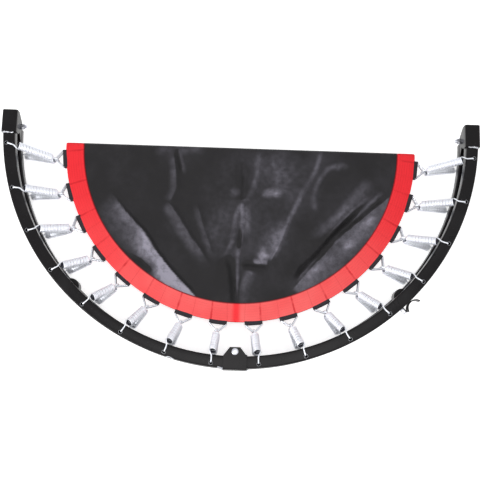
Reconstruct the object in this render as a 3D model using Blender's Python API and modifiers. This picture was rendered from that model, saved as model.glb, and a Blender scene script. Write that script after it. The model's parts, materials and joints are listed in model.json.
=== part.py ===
"""Folding mini trampoline, folded in half and lying flat on its far half.

The ring of square tube is four quarter arcs. The near half ring lies on the far one, and both turn
about the bolts of the two end hinges. Each half ring has a centre hinge, a half mat and 16 springs.
The origin is under the middle of the folded object: +X runs along the fold, +Y towards it, +Z up.
"""
import math

import bmesh
import bpy
from mathutils import Vector

# Ring of square tube
RING_RADIUS = 0.500
TUBE_SIDE = 0.025
TUBE_WALL = 0.0015
TUBE_CORNER = 0.0035
ARC_STEPS = 16
END_GAP = 0.0006
SEAT_GAP = 0.0003

# Hinges: bent plate, and pins that stand off the tube
PLATE = 0.0025
BEND_RADIUS = 0.0035
SIDE_CLEARANCE = 0.0004
FOLD_DROP = 0.015
CENTRE_PIN_INSET = 0.009
PIN_RADIUS = 0.004
PIN_CLEARANCE = 0.0004
NOSE_RADIUS = 0.008

# End brackets, one at each end of the fold
END_WEB = 0.048
END_EAR_DROP = 0.019
END_NOSE = 0.009
LUG_FOOT = 0.030
BOLT_HEAD_RADIUS = 0.0075
BOLT_HEAD_HEIGHT = 0.005
BOLT_DOME_RADIUS = 0.0045
BOLT_DOME_DROP = 0.0008
BOLT_TAIL = 0.004
NUT_FLATS = 0.013
NUT_HEIGHT = 0.0065

# Centre brackets, one in the middle of each half ring
CENTRE_WEB = 0.048
CENTRE_TOP = 0.021
CENTRE_RISE = 0.018
CENTRE_LUG_FOOT = 0.026
CENTRE_NOSE_RADIUS = 0.0074
RIVET_HEAD_RADIUS = 0.0068
RIVET_HEAD_HEIGHT = 0.002
RIVET_DOME_RADIUS = 0.004

# Springs
SPRINGS_PER_QUARTER = 8
HOOK_INSET = 0.008
HOOK_HOLE_RADIUS = 0.003
WIRE_RADIUS = 0.0015
COIL_RADIUS = 0.0085
COIL_CURLS = 3
CURL_POINTS = 8
CURL_RAMP = 2.5
HOOK_TIP = 0.007
HOOK_RISE = 0.0006
HOOK_BEND = 0.0018
HOOK_LEAD = 0.007
HOOK_TAIL = 0.008
EYE_RADIUS = 0.0042

# Mat, border, loops and triangular rings
MAT_RADIUS = 0.372
MAT_THICKNESS = 0.002
BORDER_WIDTH = 0.034
BORDER_THICKNESS = 0.004
LAYER_HEIGHT = 0.006
CREASE_GAP = 0.0003
CLOTH_STEPS = 48
ROLL_STEPS = 3
FOLD_SLACK = 0.032
LOOP_LENGTH = 0.038
LOOP_REACH = 0.007
LOOP_THICKNESS = 0.0036
LOOP_OVERLAP = 0.003
RING_WIRE_RADIUS = 0.0016
RING_BASE = 0.0405
RING_BASE_REACH = 0.0035
RING_REACH = 0.021
RING_NOSE = 0.0044
RING_SHOULDER = 0.002

# Leg sockets, and the saddle and stud outside the right of the ring
SOCKET_RADIUS = 0.017
SOCKET_WALL = 0.002
SOCKET_OFFSET = 0.004
SOCKET_STEPS = 16
SADDLE_RADIUS = 0.016
SADDLE_PLATE = 0.0025
SADDLE_WIDTH = 0.018
SADDLE_SPAN = math.radians(110)
SADDLE_LIP = 0.005
SADDLE_LIP_LEAN = math.radians(26)
SADDLE_STEPS = 8
STUD_RADIUS = 0.0045
STUD_LENGTH = 0.012
STUD_ASIDE = 0.021

# Worked out from the dimensions above
RING_INNER = RING_RADIUS - TUBE_SIDE
RING_MIDDLE = RING_RADIUS - TUBE_SIDE / 2
FACET_DEPTH = RING_INNER * (1 - math.cos(math.pi / 4 / ARC_STEPS))
HOOK_CIRCLE = RING_RADIUS - HOOK_INSET
TUBE_UNDER = FOLD_DROP
TUBE_TOP = FOLD_DROP + TUBE_SIDE
TUBE_MIDDLE = FOLD_DROP + TUBE_SIDE / 2
ROLL_RADIUS = LAYER_HEIGHT - CREASE_GAP / 2
WEB_OUTSIDE = RING_RADIUS + SIDE_CLEARANCE + PLATE
QUARTER = math.pi / 2
HALF_TURN = math.pi
SHARP_ANGLE = math.radians(35)

MATERIALS = {
    "powder_coat": ((0.018, 0.018, 0.020, 1), 0.42, 0.0),
    "zinc": ((0.72, 0.73, 0.75, 1), 0.28, 1.0),
    "mat_black": ((0.022, 0.022, 0.026, 1), 0.55, 0.0),
    "webbing_red": ((0.80, 0.045, 0.05, 1), 0.75, 0.0),
}

solids = bpy.data.collections.new("folding_mini_trampoline")
cutters = bpy.data.collections.new("cutters")


def clear_scene():
    """Remove what the scene holds and link the two collections."""
    for thing in list(bpy.data.objects):
        bpy.data.objects.remove(thing, do_unlink=True)
    for collection in (solids, cutters):
        bpy.context.scene.collection.children.link(collection)


def material(name):
    """The named Principled material, made the first time that it is asked for."""
    found = bpy.data.materials.get(name)
    if found:
        return found
    colour, roughness, metallic = MATERIALS[name]
    made = bpy.data.materials.new(name)
    made.use_nodes = True
    shader = made.node_tree.nodes["Principled BSDF"]
    shader.inputs["Base Color"].default_value = colour
    shader.inputs["Roughness"].default_value = roughness
    shader.inputs["Metallic"].default_value = metallic
    made.diffuse_color = colour
    return made


def empty(name, location, turn=(0, 0, 0), parent=None):
    """An empty that carries a moving body."""
    made = bpy.data.objects.new(name, None)
    made.location = location
    made.rotation_euler = turn
    made.parent = parent
    solids.objects.link(made)
    return made


def solid(name, data, finish, parent, location=(0, 0, 0), turn=(0, 0, 0)):
    """A sub-part that holds the mesh or curve given."""
    made = bpy.data.objects.new(name, data)
    made.location = location
    made.rotation_euler = turn
    made.parent = parent
    if not data.materials:
        data.materials.append(material(finish))
    solids.objects.link(made)
    return made


def cutter(name, mesh, host):
    """A tool in the host's own frame that a Boolean modifier uses."""
    made = bpy.data.objects.new(name, mesh)
    made.parent = host
    made.hide_render = True
    made.display_type = "WIRE"
    cutters.objects.link(made)
    return made


def boolean(host, tool, operation="DIFFERENCE"):
    """Cut the host with the tool, or join the tool to it."""
    step = host.modifiers.new(tool.name, "BOOLEAN")
    step.operation = operation
    step.object = tool


def box_mesh(name, low, high):
    """A box between two corners."""
    low = Vector(low)
    high = Vector(high)
    shape = bmesh.new()
    bmesh.ops.create_cube(shape, size=1)
    bmesh.ops.scale(shape, verts=shape.verts, vec=high - low)
    bmesh.ops.translate(shape, verts=shape.verts, vec=(low + high) / 2)
    return finished(name, shape)


def rod_mesh(name, start, end, radius, sides=12):
    """A round bar between two points, which also serves as a drill."""
    start = Vector(start)
    end = Vector(end)
    shape = bmesh.new()
    add_rod(shape, start, end, radius, sides)
    return finished(name, shape)


def add_rod(shape, start, end, radius, sides):
    """Add a round bar between two points to a bmesh."""
    along = end - start
    place = along.to_track_quat("Z", "Y").to_matrix().to_4x4()
    place.translation = (start + end) / 2
    bmesh.ops.create_cone(shape, cap_ends=True, segments=sides, radius1=radius, radius2=radius,
                          depth=along.length, matrix=place)


def finished(name, shape):
    """Store a bmesh in a new mesh."""
    mesh = bpy.data.meshes.new(name)
    shape.to_mesh(mesh)
    shape.free()
    return mesh


def meshed(made):
    """Turn a curve object into a mesh with its caps welded, and remove the curve."""
    evaluated = made.evaluated_get(bpy.context.evaluated_depsgraph_get())
    mesh = bpy.data.meshes.new_from_object(evaluated)
    bpy.data.objects.remove(made, do_unlink=True)
    shape = bmesh.new()
    shape.from_mesh(mesh)
    bmesh.ops.remove_doubles(shape, verts=shape.verts, dist=0.00001)
    shape.to_mesh(mesh)
    shape.free()
    return mesh


def plate_mesh(name, outline, width):
    """A flat outline given as (x, y) points, extruded to the width about z = 0."""
    data = bpy.data.curves.new(name, "CURVE")
    data.dimensions = "2D"
    data.fill_mode = "BOTH"
    data.extrude = width / 2
    line = data.splines.new("POLY")
    line.points.add(len(outline) - 1)
    for point, (x, y) in zip(line.points, outline):
        point.co = (x, y, 0, 1)
    line.use_cyclic_u = True
    made = bpy.data.objects.new(name, data)
    solids.objects.link(made)
    bpy.context.view_layer.update()
    return meshed(made)


def direction(flat):
    """The angle of a flat vector from +X."""
    return math.atan2(flat.y, flat.x)


def nose(foot_a, foot_b, centre, radius, steps=8):
    """Points of a round nose about a centre, tangent to the lines from the two ends of its foot."""
    centre = Vector(centre)
    middle = (Vector(foot_a) + Vector(foot_b)) / 2
    ahead = direction(centre - middle)
    touch = []
    for foot in (foot_b, foot_a):
        away = Vector(foot) - centre
        spread = math.acos(radius / away.length)
        leans = [math.remainder(direction(away) + way * spread - ahead, 2 * HALF_TURN) for way in (-1, 1)]
        touch.append(ahead + min(leans, key=abs))
    first, last = touch
    angles = [first + (last - first) * step / steps for step in range(steps + 1)]
    return [(centre.x + radius * math.cos(a), centre.y + radius * math.sin(a)) for a in angles]


def round_bends(mesh, height, half_width):
    """Round the two long edges of a plate block where its web bends into its ears."""
    shape = bmesh.new()
    shape.from_mesh(mesh)
    bends = []
    for edge in shape.edges:
        on_web = all(abs(v.co.y - height) < 1e-6 for v in edge.verts)
        on_side = all(abs(abs(v.co.z) - half_width) < 1e-6 for v in edge.verts)
        if on_web and on_side and abs(edge.verts[0].co.z - edge.verts[1].co.z) < 1e-6:
            bends.append(edge)
    bmesh.ops.bevel(shape, geom=bends, offset=BEND_RADIUS, segments=2, profile=0.5, affect="EDGES")
    shape.to_mesh(mesh)
    shape.free()


def turned(name, profile, steps, finish, parent, location=(0, 0, 0), turn=(0, 0, 0)):
    """A turned solid: an open profile of (radius, height) from axis to axis, swept about z."""
    mesh = bpy.data.meshes.new(name)
    points = [(radius, 0, height) for radius, height in profile]
    mesh.from_pydata(points, [(i, i + 1) for i in range(len(points) - 1)], [])
    made = solid(name, mesh, finish, parent, location, turn)
    sweep = made.modifiers.new("turn", "SCREW")
    sweep.axis = "Z"
    sweep.steps = steps
    sweep.render_steps = steps
    sweep.use_merge_vertices = True
    sweep.merge_threshold = 0.00001
    return made


def wire(name, points, radius, finish, parent, swell=None, resolution=1, cyclic=False):
    """A round wire along points; swell gives a multiple of the radius for each point."""
    data = bpy.data.curves.new(name, "CURVE")
    data.dimensions = "3D"
    data.bevel_depth = radius
    data.bevel_resolution = resolution
    data.use_fill_caps = not cyclic
    line = data.splines.new("POLY")
    line.points.add(len(points) - 1)
    for index, (point, place) in enumerate(zip(line.points, points)):
        point.co = (*place, 1)
        if swell:
            point.radius = swell[index]
    line.use_cyclic_u = cyclic
    return solid(name, data, finish, parent)


def sagitta(radius, half_length):
    """How far an arc of the radius falls away from its tangent over the half length."""
    return radius - math.sqrt(radius ** 2 - half_length ** 2)


def around(radius, angle, height):
    """The point at an angle round the ring, counted from +X."""
    return Vector((radius * math.cos(angle), radius * math.sin(angle), height))


def hook_angles():
    """Angles of the spring holes of one quarter arc, counted from the arc's start."""
    step = QUARTER / SPRINGS_PER_QUARTER
    return [step * (index + 0.5) for index in range(SPRINGS_PER_QUARTER)]


def tube_section():
    """Outline of the square tube: down its outer side, in, up its inner side and out again."""
    edge = TUBE_SIDE / 2
    cut = edge - TUBE_CORNER
    signs = [(1, 1), (1, -1), (-1, -1), (-1, 1)]
    section = []
    for index, (across, up) in enumerate(signs):
        side_first = (cut * across, edge * up)
        side_last = (edge * across, cut * up)
        section += [side_first, side_last] if index % 2 == 0 else [side_last, side_first]
    return [(RING_MIDDLE + across, TUBE_MIDDLE + up) for across, up in section]


def quarter_tube(name, start, parent):
    """A quarter arc of hollow square tube with its spring holes, from the start angle on."""
    mesh = bpy.data.meshes.new(name)
    section = tube_section()
    count = len(section)
    mesh.from_pydata([(x, 0, z) for x, z in section], [(i, (i + 1) % count) for i in range(count)], [])
    spare = END_GAP / 2 / RING_INNER
    made = solid(name, mesh, "powder_coat", parent, turn=(0, 0, start + spare))
    sweep = made.modifiers.new("arc", "SCREW")
    sweep.angle = QUARTER - 2 * spare
    sweep.steps = ARC_STEPS
    sweep.render_steps = ARC_STEPS
    wall = made.modifiers.new("wall", "SOLIDIFY")
    wall.thickness = TUBE_WALL
    wall.offset = -1
    wall.use_even_offset = True
    drills = bmesh.new()
    for angle in hook_angles():
        top = around(HOOK_CIRCLE, angle - spare, TUBE_TOP + TUBE_WALL)
        bottom = around(HOOK_CIRCLE, angle - spare, TUBE_TOP - 2 * TUBE_WALL)
        add_rod(drills, bottom, top, HOOK_HOLE_RADIUS, 8)
    boolean(made, cutter(name + "_drills", finished(name + "_drills", drills), made))
    return made


def channel_bounds():
    """Inner and outer wall of an end bracket's channel, which clears the curve of the tube."""
    inner = RING_INNER - sagitta(RING_INNER, END_WEB / 2) - FACET_DEPTH - SIDE_CLEARANCE
    outer = RING_RADIUS + SIDE_CLEARANCE
    return inner, outer


STAND_UP = (QUARTER, 0, QUARTER)


def end_bracket(name, side, parent):
    """The bent plate over the end of a near arc, whose ears carry the fold's bolt."""
    inner, outer = channel_bounds()
    width = outer - inner + 2 * PLATE
    web = TUBE_TOP + SEAT_GAP + PLATE
    half = END_WEB / 2
    shoulder = web - END_EAR_DROP
    outline = [(half, web), (-half, web), (-half, shoulder)]
    outline += nose((half, shoulder), (-half, shoulder), (0, 0), END_NOSE)
    outline += [(half, shoulder)]
    mesh = plate_mesh(name, outline, width)
    round_bends(mesh, web, width / 2)
    middle = side * (inner + outer) / 2
    made = solid(name, mesh, "powder_coat", parent, location=(middle, 0, 0), turn=STAND_UP)
    gap = (outer - inner) / 2
    channel = box_mesh(name + "_channel", (-END_WEB, -END_WEB, -gap), (END_WEB, web - PLATE, gap))
    boolean(made, cutter(name + "_channel", channel, made))
    drill = rod_mesh(name + "_drill", (0, 0, -width), (0, 0, width), PIN_RADIUS + PIN_CLEARANCE)
    boolean(made, cutter(name + "_drill", drill, made))
    return made


def end_lug(name, side, parent):
    """The channel under the end of a far arc that turns on the bolt between the bracket's ears."""
    inner, outer = channel_bounds()
    base = TUBE_UNDER - SEAT_GAP
    foot_a = (-LUG_FOOT, base)
    foot_b = (-END_GAP, base)
    outline = [foot_b, foot_a] + nose(foot_b, foot_a, (0, 0), NOSE_RADIUS)
    mesh = plate_mesh(name, outline, TUBE_SIDE)
    middle = side * (inner + outer) / 2
    made = solid(name, mesh, "powder_coat", parent, location=(middle, 0, 0), turn=STAND_UP)
    gap = TUBE_SIDE / 2 - PLATE
    reach = 2 * LUG_FOOT
    channel = box_mesh(name + "_channel", (-reach, -reach, -gap), (reach, base - PLATE, gap))
    boolean(made, cutter(name + "_channel", channel, made))
    drill = rod_mesh(name + "_drill", (0, 0, -reach), (0, 0, reach), PIN_RADIUS + PIN_CLEARANCE)
    boolean(made, cutter(name + "_drill", drill, made))
    return made


def end_bolt(side_name, side, parent):
    """The fold's bolt, its head outside the ring, and the nut on its inner end."""
    inner, outer = channel_bounds()
    head = outer + PLATE + SEAT_GAP
    nut = inner - PLATE - SEAT_GAP
    tail = nut - NUT_HEIGHT - BOLT_TAIL
    crown = head + BOLT_HEAD_HEIGHT
    rim = BOLT_HEAD_HEIGHT / 3
    profile = [(0, crown), (BOLT_DOME_RADIUS, crown - BOLT_DOME_DROP),
               (BOLT_HEAD_RADIUS, head + rim), (BOLT_HEAD_RADIUS, head), (PIN_RADIUS, head),
               (PIN_RADIUS, tail), (0, tail)]
    outward = (0, side * QUARTER, 0)
    turned(side_name + "_fold_bolt", profile, 12, "zinc", parent, turn=outward)
    shape = bmesh.new()
    across_corners = NUT_FLATS / math.sqrt(3)
    add_rod(shape, Vector((0, 0, nut - NUT_HEIGHT)), Vector((0, 0, nut)), across_corners, 6)
    name = side_name + "_fold_nut"
    made = solid(name, finished(name, shape), "zinc", parent, turn=outward)
    bore = rod_mesh(name + "_bore", (0, 0, tail), (0, 0, head), PIN_RADIUS + PIN_CLEARANCE)
    boolean(made, cutter(name + "_bore", bore, made))


def centre_bracket(name, parent):
    """The bent plate round the middle joint of a half ring, with sloping ears."""
    pin_y = -(RING_INNER - CENTRE_PIN_INSET)
    web = -WEB_OUTSIDE - pin_y
    rise = -RING_INNER + CENTRE_RISE - pin_y
    shoulder = -RING_INNER + sagitta(RING_INNER, CENTRE_WEB / 2) - pin_y
    half = CENTRE_WEB / 2
    top = CENTRE_TOP / 2
    height = TUBE_SIDE + 2 * SEAT_GAP + 2 * PLATE
    outline = [(-half, web), (half, web), (half, shoulder), (top, rise), (-top, rise), (-half, shoulder)]
    mesh = plate_mesh(name, outline, height)
    round_bends(mesh, web, height / 2)
    made = solid(name, mesh, "powder_coat", parent, location=(0, pin_y, TUBE_MIDDLE))
    gap = TUBE_SIDE / 2 + SEAT_GAP
    channel = box_mesh(name + "_channel", (-CENTRE_WEB, web + PLATE, -gap),
                       (CENTRE_WEB, CENTRE_WEB, gap))
    boolean(made, cutter(name + "_channel", channel, made))
    drill = rod_mesh(name + "_drill", (0, 0, -height), (0, 0, height), PIN_RADIUS + PIN_CLEARANCE)
    boolean(made, cutter(name + "_drill", drill, made))
    return made


def centre_lug(name, parent):
    """The channel on the inner face of the other arc, held between the centre bracket's ears."""
    pin_y = -(RING_INNER - CENTRE_PIN_INSET)
    base = -RING_INNER + sagitta(RING_INNER, CENTRE_LUG_FOOT) + FACET_DEPTH + SEAT_GAP - pin_y
    foot_a = (END_GAP, base)
    foot_b = (CENTRE_LUG_FOOT, base)
    outline = [foot_a, foot_b] + nose(foot_a, foot_b, (0, 0), CENTRE_NOSE_RADIUS)
    mesh = plate_mesh(name, outline, TUBE_SIDE)
    made = solid(name, mesh, "powder_coat", parent, location=(0, pin_y, TUBE_MIDDLE))
    gap = TUBE_SIDE / 2 - PLATE
    reach = 2 * CENTRE_LUG_FOOT
    channel = box_mesh(name + "_channel", (-reach, base + PLATE, -gap), (reach, reach, gap))
    boolean(made, cutter(name + "_channel", channel, made))
    drill = rod_mesh(name + "_drill", (0, 0, -reach), (0, 0, reach), PIN_RADIUS + PIN_CLEARANCE)
    boolean(made, cutter(name + "_drill", drill, made))
    return made


def centre_pin(name, parent):
    """The rivet through the centre bracket, with a low domed head on each ear."""
    seat = TUBE_SIDE / 2 + SEAT_GAP + PLATE + SEAT_GAP
    edge = seat + RIVET_HEAD_HEIGHT / 2
    crown = seat + RIVET_HEAD_HEIGHT
    upper = [(0, crown), (RIVET_DOME_RADIUS, crown), (RIVET_HEAD_RADIUS, edge),
             (RIVET_HEAD_RADIUS, seat), (PIN_RADIUS, seat)]
    profile = upper + [(radius, -height) for radius, height in reversed(upper)]
    place = (0, -(RING_INNER - CENTRE_PIN_INSET), TUBE_MIDDLE)
    return turned(name, profile, 12, "zinc", parent, location=place)


def leg_socket(name, angle, parent):
    """The cup under the middle of a quarter arc that takes a leg."""
    mouth = SEAT_GAP / 2
    floor = TUBE_UNDER - SEAT_GAP
    bore = SOCKET_RADIUS - SOCKET_WALL
    profile = [(0, floor), (SOCKET_RADIUS, floor), (SOCKET_RADIUS, mouth), (bore, mouth),
               (bore, floor - SOCKET_WALL), (0, floor - SOCKET_WALL)]
    place = around(RING_MIDDLE - SOCKET_OFFSET, angle, 0)
    return turned(name, profile, SOCKET_STEPS, "powder_coat", parent, location=place)


def saddle_lip(end):
    """The step from an end of the saddle's arc to the tip of its flared lip."""
    lean = math.copysign(SADDLE_LIP_LEAN, end.y)
    return Vector((math.cos(lean), math.sin(lean))) * SADDLE_LIP


def saddle(parent):
    """The open saddle welded to the outer side of the near right arc."""
    start = HALF_TURN - SADDLE_SPAN / 2
    angles = [start + SADDLE_SPAN * step / SADDLE_STEPS for step in range(SADDLE_STEPS + 1)]
    outline = []
    for radius, order in ((SADDLE_RADIUS, angles[::-1]), (SADDLE_RADIUS + SADDLE_PLATE, angles)):
        arc = [Vector((radius * math.cos(angle), radius * math.sin(angle))) for angle in order]
        outline += [arc[0] + saddle_lip(arc[0]), *arc, arc[-1] + saddle_lip(arc[-1])]
    mesh = plate_mesh("leg_saddle", outline, SADDLE_WIDTH)
    middle = RING_RADIUS + SEAT_GAP + SADDLE_PLATE + SADDLE_RADIUS
    angle = -QUARTER / 2
    place = around(middle, angle, TUBE_MIDDLE)
    return solid("leg_saddle", mesh, "powder_coat", parent, location=place, turn=(0, 0, angle))


def stud(parent):
    """The short zinc stud that stands out of the ring beside the saddle."""
    angle = -QUARTER / 2 - math.asin(STUD_ASIDE / RING_RADIUS)
    start = RING_RADIUS + SEAT_GAP
    chamfer = STUD_RADIUS / 4
    end = start + STUD_LENGTH
    profile = [(0, end), (STUD_RADIUS - chamfer, end), (STUD_RADIUS, end - chamfer),
               (STUD_RADIUS, start), (0, start)]
    return turned("leg_stud", profile, 10, "zinc", parent, location=(0, 0, TUBE_MIDDLE),
                  turn=(0, QUARTER, angle))


def spring_frame(hole, eye):
    """Where a spring leaves the tube, its axis, the way up from the axis, and its straight length."""
    inward = Vector((eye.x - hole.x, eye.y - hole.y, 0)).normalized()
    flat = Vector((hole.x, hole.y, 0))
    along = flat.dot(inward)
    rim = RING_INNER - WIRE_RADIUS
    run = -along - math.sqrt(along ** 2 - flat.length_squared + rim ** 2)
    edge = flat + inward * run
    edge.z = TUBE_TOP + HOOK_RISE + WIRE_RADIUS
    aim = (eye - edge).normalized()
    up = inward.cross(Vector((0, 0, 1))).cross(aim).normalized()
    hook = eye + up * EYE_RADIUS
    axis = (hook - edge).normalized()
    return inward, edge, axis, up, (hook - edge).length


def hook_over_tube(hole, inward, edge):
    """The outer hook: up through the hole, over the tube's top and on to its inner edge."""
    lift = edge.z - TUBE_TOP
    return [Vector((hole.x, hole.y, TUBE_TOP - HOOK_TIP)), Vector((hole.x, hole.y, TUBE_TOP + lift / 3)),
            Vector((hole.x, hole.y, edge.z)) + inward * HOOK_BEND, edge]


def hook_round_ring(eye, axis, up):
    """The inner hook: from over the bar of a triangular ring round its far side to below it."""
    angles = [HALF_TURN / 3 * step for step in range(4)]
    return [eye + (up * math.cos(a) + axis * math.sin(a)) * EYE_RADIUS for a in angles]


def coiled_spring(name, hole, eye, parent):
    """A spring with open curls, as one unbroken wire. Returns its centre line."""
    inward, edge, axis, up, length = spring_frame(hole, eye)
    across = axis.cross(up)
    first = HOOK_LEAD
    last = length - HOOK_TAIL
    count = COIL_CURLS * CURL_POINTS
    coil = []
    for index in range(count + 1):
        grow = min(1, (index + 1) / CURL_RAMP, (count - index + 1) / CURL_RAMP)
        radius = (COIL_RADIUS - WIRE_RADIUS) * grow
        angle = 2 * HALF_TURN * index / CURL_POINTS
        along = edge + axis * (first + (last - first) * index / count)
        coil.append(along + (up * math.cos(angle) + across * math.sin(angle)) * radius)
    points = hook_over_tube(hole, inward, edge) + coil + hook_round_ring(eye, axis, up)
    wire(name, points, WIRE_RADIUS, "zinc", parent)
    return points


def plain_spring(name, hole, eye, parent):
    """A spring as a plain barrel between its two hooks."""
    inward, edge, axis, up, length = spring_frame(hole, eye)
    first = HOOK_LEAD
    last = length - HOOK_TAIL
    thick = COIL_RADIUS / WIRE_RADIUS
    outer = hook_over_tube(hole, inward, edge)
    barrel = [edge + axis * s for s in (first - WIRE_RADIUS, first, last, last + WIRE_RADIUS)]
    inner = hook_round_ring(eye, axis, up)[1:]
    swell = [1] * len(outer) + [1, thick, thick, 1] + [1] * len(inner)
    wire(name, outer + barrel + inner, WIRE_RADIUS, "zinc", parent, swell=swell)


def least_gap(points, radius):
    """Smallest space between stretches of a wire that aren't neighbours along it."""
    steps = [(b - a).length for a, b in zip(points, points[1:])]
    reached = [0.0]
    for step in steps:
        reached.append(reached[-1] + step)
    least = math.inf
    for i, point in enumerate(points):
        for j in range(i + 1, len(points) - 1):
            if reached[j] - reached[i] < 6 * radius:
                continue
            start = points[j]
            run = points[j + 1] - start
            share = max(0, min(1, (point - start).dot(run) / run.length_squared))
            least = min(least, (start + run * share - point).length - 2 * radius)
    return least


def roll_start(thickness):
    """Where cloth leaves its plane so that its outer face ends just short of the fold's middle."""
    return -(ROLL_RADIUS + thickness / 2 + CREASE_GAP / 2)


def roll_over_crease(shape, start):
    """Roll the strip past the start down from the layer's height to the fold's middle."""
    for vert in shape.verts:
        past = vert.co.y - start
        if past <= 0:
            continue
        angle = past / ROLL_RADIUS
        out = ROLL_RADIUS + vert.co.z
        vert.co.y = start + out * math.sin(angle)
        vert.co.z = out * math.cos(angle) - ROLL_RADIUS


def half_sheet(name, outer, inner, thickness):
    """A half disc or half band of cloth that rolls over the crease, about z = 0."""
    shape = bmesh.new()
    if inner:
        rings = [bmesh.ops.create_circle(shape, segments=CLOTH_STEPS, radius=radius)["verts"]
                 for radius in (outer, inner)]
        edges = {edge for ring in rings for vert in ring for edge in vert.link_edges}
        bmesh.ops.bridge_loops(shape, edges=list(edges))
    else:
        bmesh.ops.create_circle(shape, segments=CLOTH_STEPS, radius=outer, cap_ends=True)
    start = roll_start(thickness)
    arc = ROLL_RADIUS * QUARTER
    for step in range(ROLL_STEPS + 1):
        place = start + arc * step / ROLL_STEPS
        geometry = shape.verts[:] + shape.edges[:] + shape.faces[:]
        bmesh.ops.bisect_plane(shape, geom=geometry, plane_co=(0, place, 0), plane_no=(0, 1, 0),
                               clear_outer=step == ROLL_STEPS)
    bmesh.ops.recalc_face_normals(shape, faces=shape.faces)
    if shape.faces[:][0].normal.z < 0:
        bmesh.ops.reverse_faces(shape, faces=shape.faces)
    bmesh.ops.solidify(shape, geom=shape.faces[:], thickness=thickness)
    middle = sum(vert.co.z for vert in shape.verts) / len(shape.verts)
    bmesh.ops.translate(shape, verts=shape.verts, vec=(0, 0, -middle))
    roll_over_crease(shape, start)
    bmesh.ops.recalc_face_normals(shape, faces=shape.faces)
    return finished(name, shape)


def ring_angles():
    """Angles of the triangular rings round the mat's centre, from one end of the crease to the other."""
    quarter = hook_angles()
    return [HALF_TURN + angle for angle in quarter] + [HALF_TURN + QUARTER + angle for angle in quarter]


def webbing_loops(name):
    """The short webbing loops that stand out of the border and hold the rings."""
    shape = bmesh.new()
    low = MAT_RADIUS - LOOP_OVERLAP
    high = MAT_RADIUS + LOOP_REACH
    for angle in ring_angles():
        made = bmesh.ops.create_cube(shape, size=1)["verts"]
        bmesh.ops.scale(shape, verts=made, vec=(high - low, LOOP_LENGTH, LOOP_THICKNESS))
        bmesh.ops.translate(shape, verts=made, vec=((low + high) / 2, 0, 0))
        turn = around(1, angle, 0).to_track_quat("X", "Z").to_matrix()
        bmesh.ops.rotate(shape, verts=made, cent=(0, 0, 0), matrix=turn)
    return finished(name, shape)


def triangle_ring(angle):
    """Centre line of one triangular ring: its base in the loop and its nose towards the tube."""
    half = RING_BASE / 2
    corners = [(RING_BASE_REACH, -half + RING_SHOULDER), (RING_BASE_REACH, half - RING_SHOULDER),
               (RING_BASE_REACH + RING_SHOULDER, half), (RING_REACH, RING_NOSE / 2),
               (RING_REACH, -RING_NOSE / 2), (RING_BASE_REACH + RING_SHOULDER, -half)]
    out = around(1, angle, 0)
    side = Vector((-out.y, out.x, 0))
    return [out * (MAT_RADIUS + reach) + side * across for reach, across in corners]


def triangle_rings(name):
    """All the triangular rings of a half mat in one mesh, to be joined to the border."""
    shape = bmesh.new()
    for index, angle in enumerate(ring_angles()):
        made = wire(name + str(index), triangle_ring(angle), RING_WIRE_RADIUS, "zinc", None,
                    resolution=0, cyclic=True)
        bpy.context.view_layer.update()
        mesh = meshed(made)
        shape.from_mesh(mesh)
        bpy.data.meshes.remove(mesh)
    return finished(name, shape)


def half_mat(layer, parent):
    """The mat of one half, and its border with the loops and rings."""
    inner = MAT_RADIUS - BORDER_WIDTH
    mat = half_sheet(layer + "_mat", inner - SEAT_GAP, 0, MAT_THICKNESS)
    solid(layer + "_mat", mat, "mat_black", parent)
    name = layer + "_mat_border"
    band = half_sheet(name, MAT_RADIUS, inner, BORDER_THICKNESS)
    border = solid(name, band, "webbing_red", parent)
    boolean(border, cutter(layer + "_loops", webbing_loops(layer + "_loops"), border), "UNION")
    boolean(border, cutter(layer + "_rings", triangle_rings(layer + "_rings"), border), "UNION")


def half_springs(layer, parent):
    """The 16 springs of one half, named from world left to world right."""
    gaps = []
    count = 2 * SPRINGS_PER_QUARTER
    for index, angle in enumerate(ring_angles()):
        hole = around(HOOK_CIRCLE, angle, 0)
        eye = around(MAT_RADIUS + RING_REACH, angle, LAYER_HEIGHT) - Vector((0, FOLD_SLACK, 0))
        if layer == "near":
            points = coiled_spring("near_spring_%02d" % (index + 1), hole, eye, parent)
            gaps.append(least_gap(points, WIRE_RADIUS))
        else:
            plain_spring("far_spring_%02d" % (count - index), hole, eye, parent)
    if gaps:
        print("least gap of a spring to itself: %.2f mm" % (min(gaps) * 1000))


def half_ring(layer, carrier):
    """The two quarter arcs of one half with their centre hinge, leg sockets and springs."""
    left, right = ("left", "right") if layer == "near" else ("right", "left")
    quarter_tube("%s_%s_tube" % (layer, left), HALF_TURN, carrier)
    quarter_tube("%s_%s_tube" % (layer, right), HALF_TURN + QUARTER, carrier)
    centre_bracket(layer + "_centre_bracket", carrier)
    centre_lug(layer + "_centre_lug", carrier)
    centre_pin(layer + "_centre_pin", carrier)
    leg_socket("%s_%s_leg_socket" % (layer, left), HALF_TURN + QUARTER / 2, carrier)
    leg_socket("%s_%s_leg_socket" % (layer, right), -QUARTER / 2, carrier)
    half_springs(layer, carrier)


def set_down(carriers):
    """Move the carriers, on the fold's axis, so that the solids' box stands centred on the origin."""
    bpy.context.view_layer.update()
    depsgraph = bpy.context.evaluated_depsgraph_get()
    places = []
    for made in solids.objects:
        if made.type != "EMPTY":
            evaluated = made.evaluated_get(depsgraph)
            places += [made.matrix_world @ vert.co for vert in evaluated.to_mesh().vertices]
            evaluated.to_mesh_clear()
    low = Vector([min(place[axis] for place in places) for axis in range(3)])
    high = Vector([max(place[axis] for place in places) for axis in range(3)])
    fold = Vector((-(low.x + high.x) / 2, -(low.y + high.y) / 2, -low.z))
    for carrier in carriers:
        carrier.location = fold
    bpy.context.view_layer.update()
    print("fold axis at y %.5f m, z %.5f m" % (fold.y, fold.z))


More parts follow.
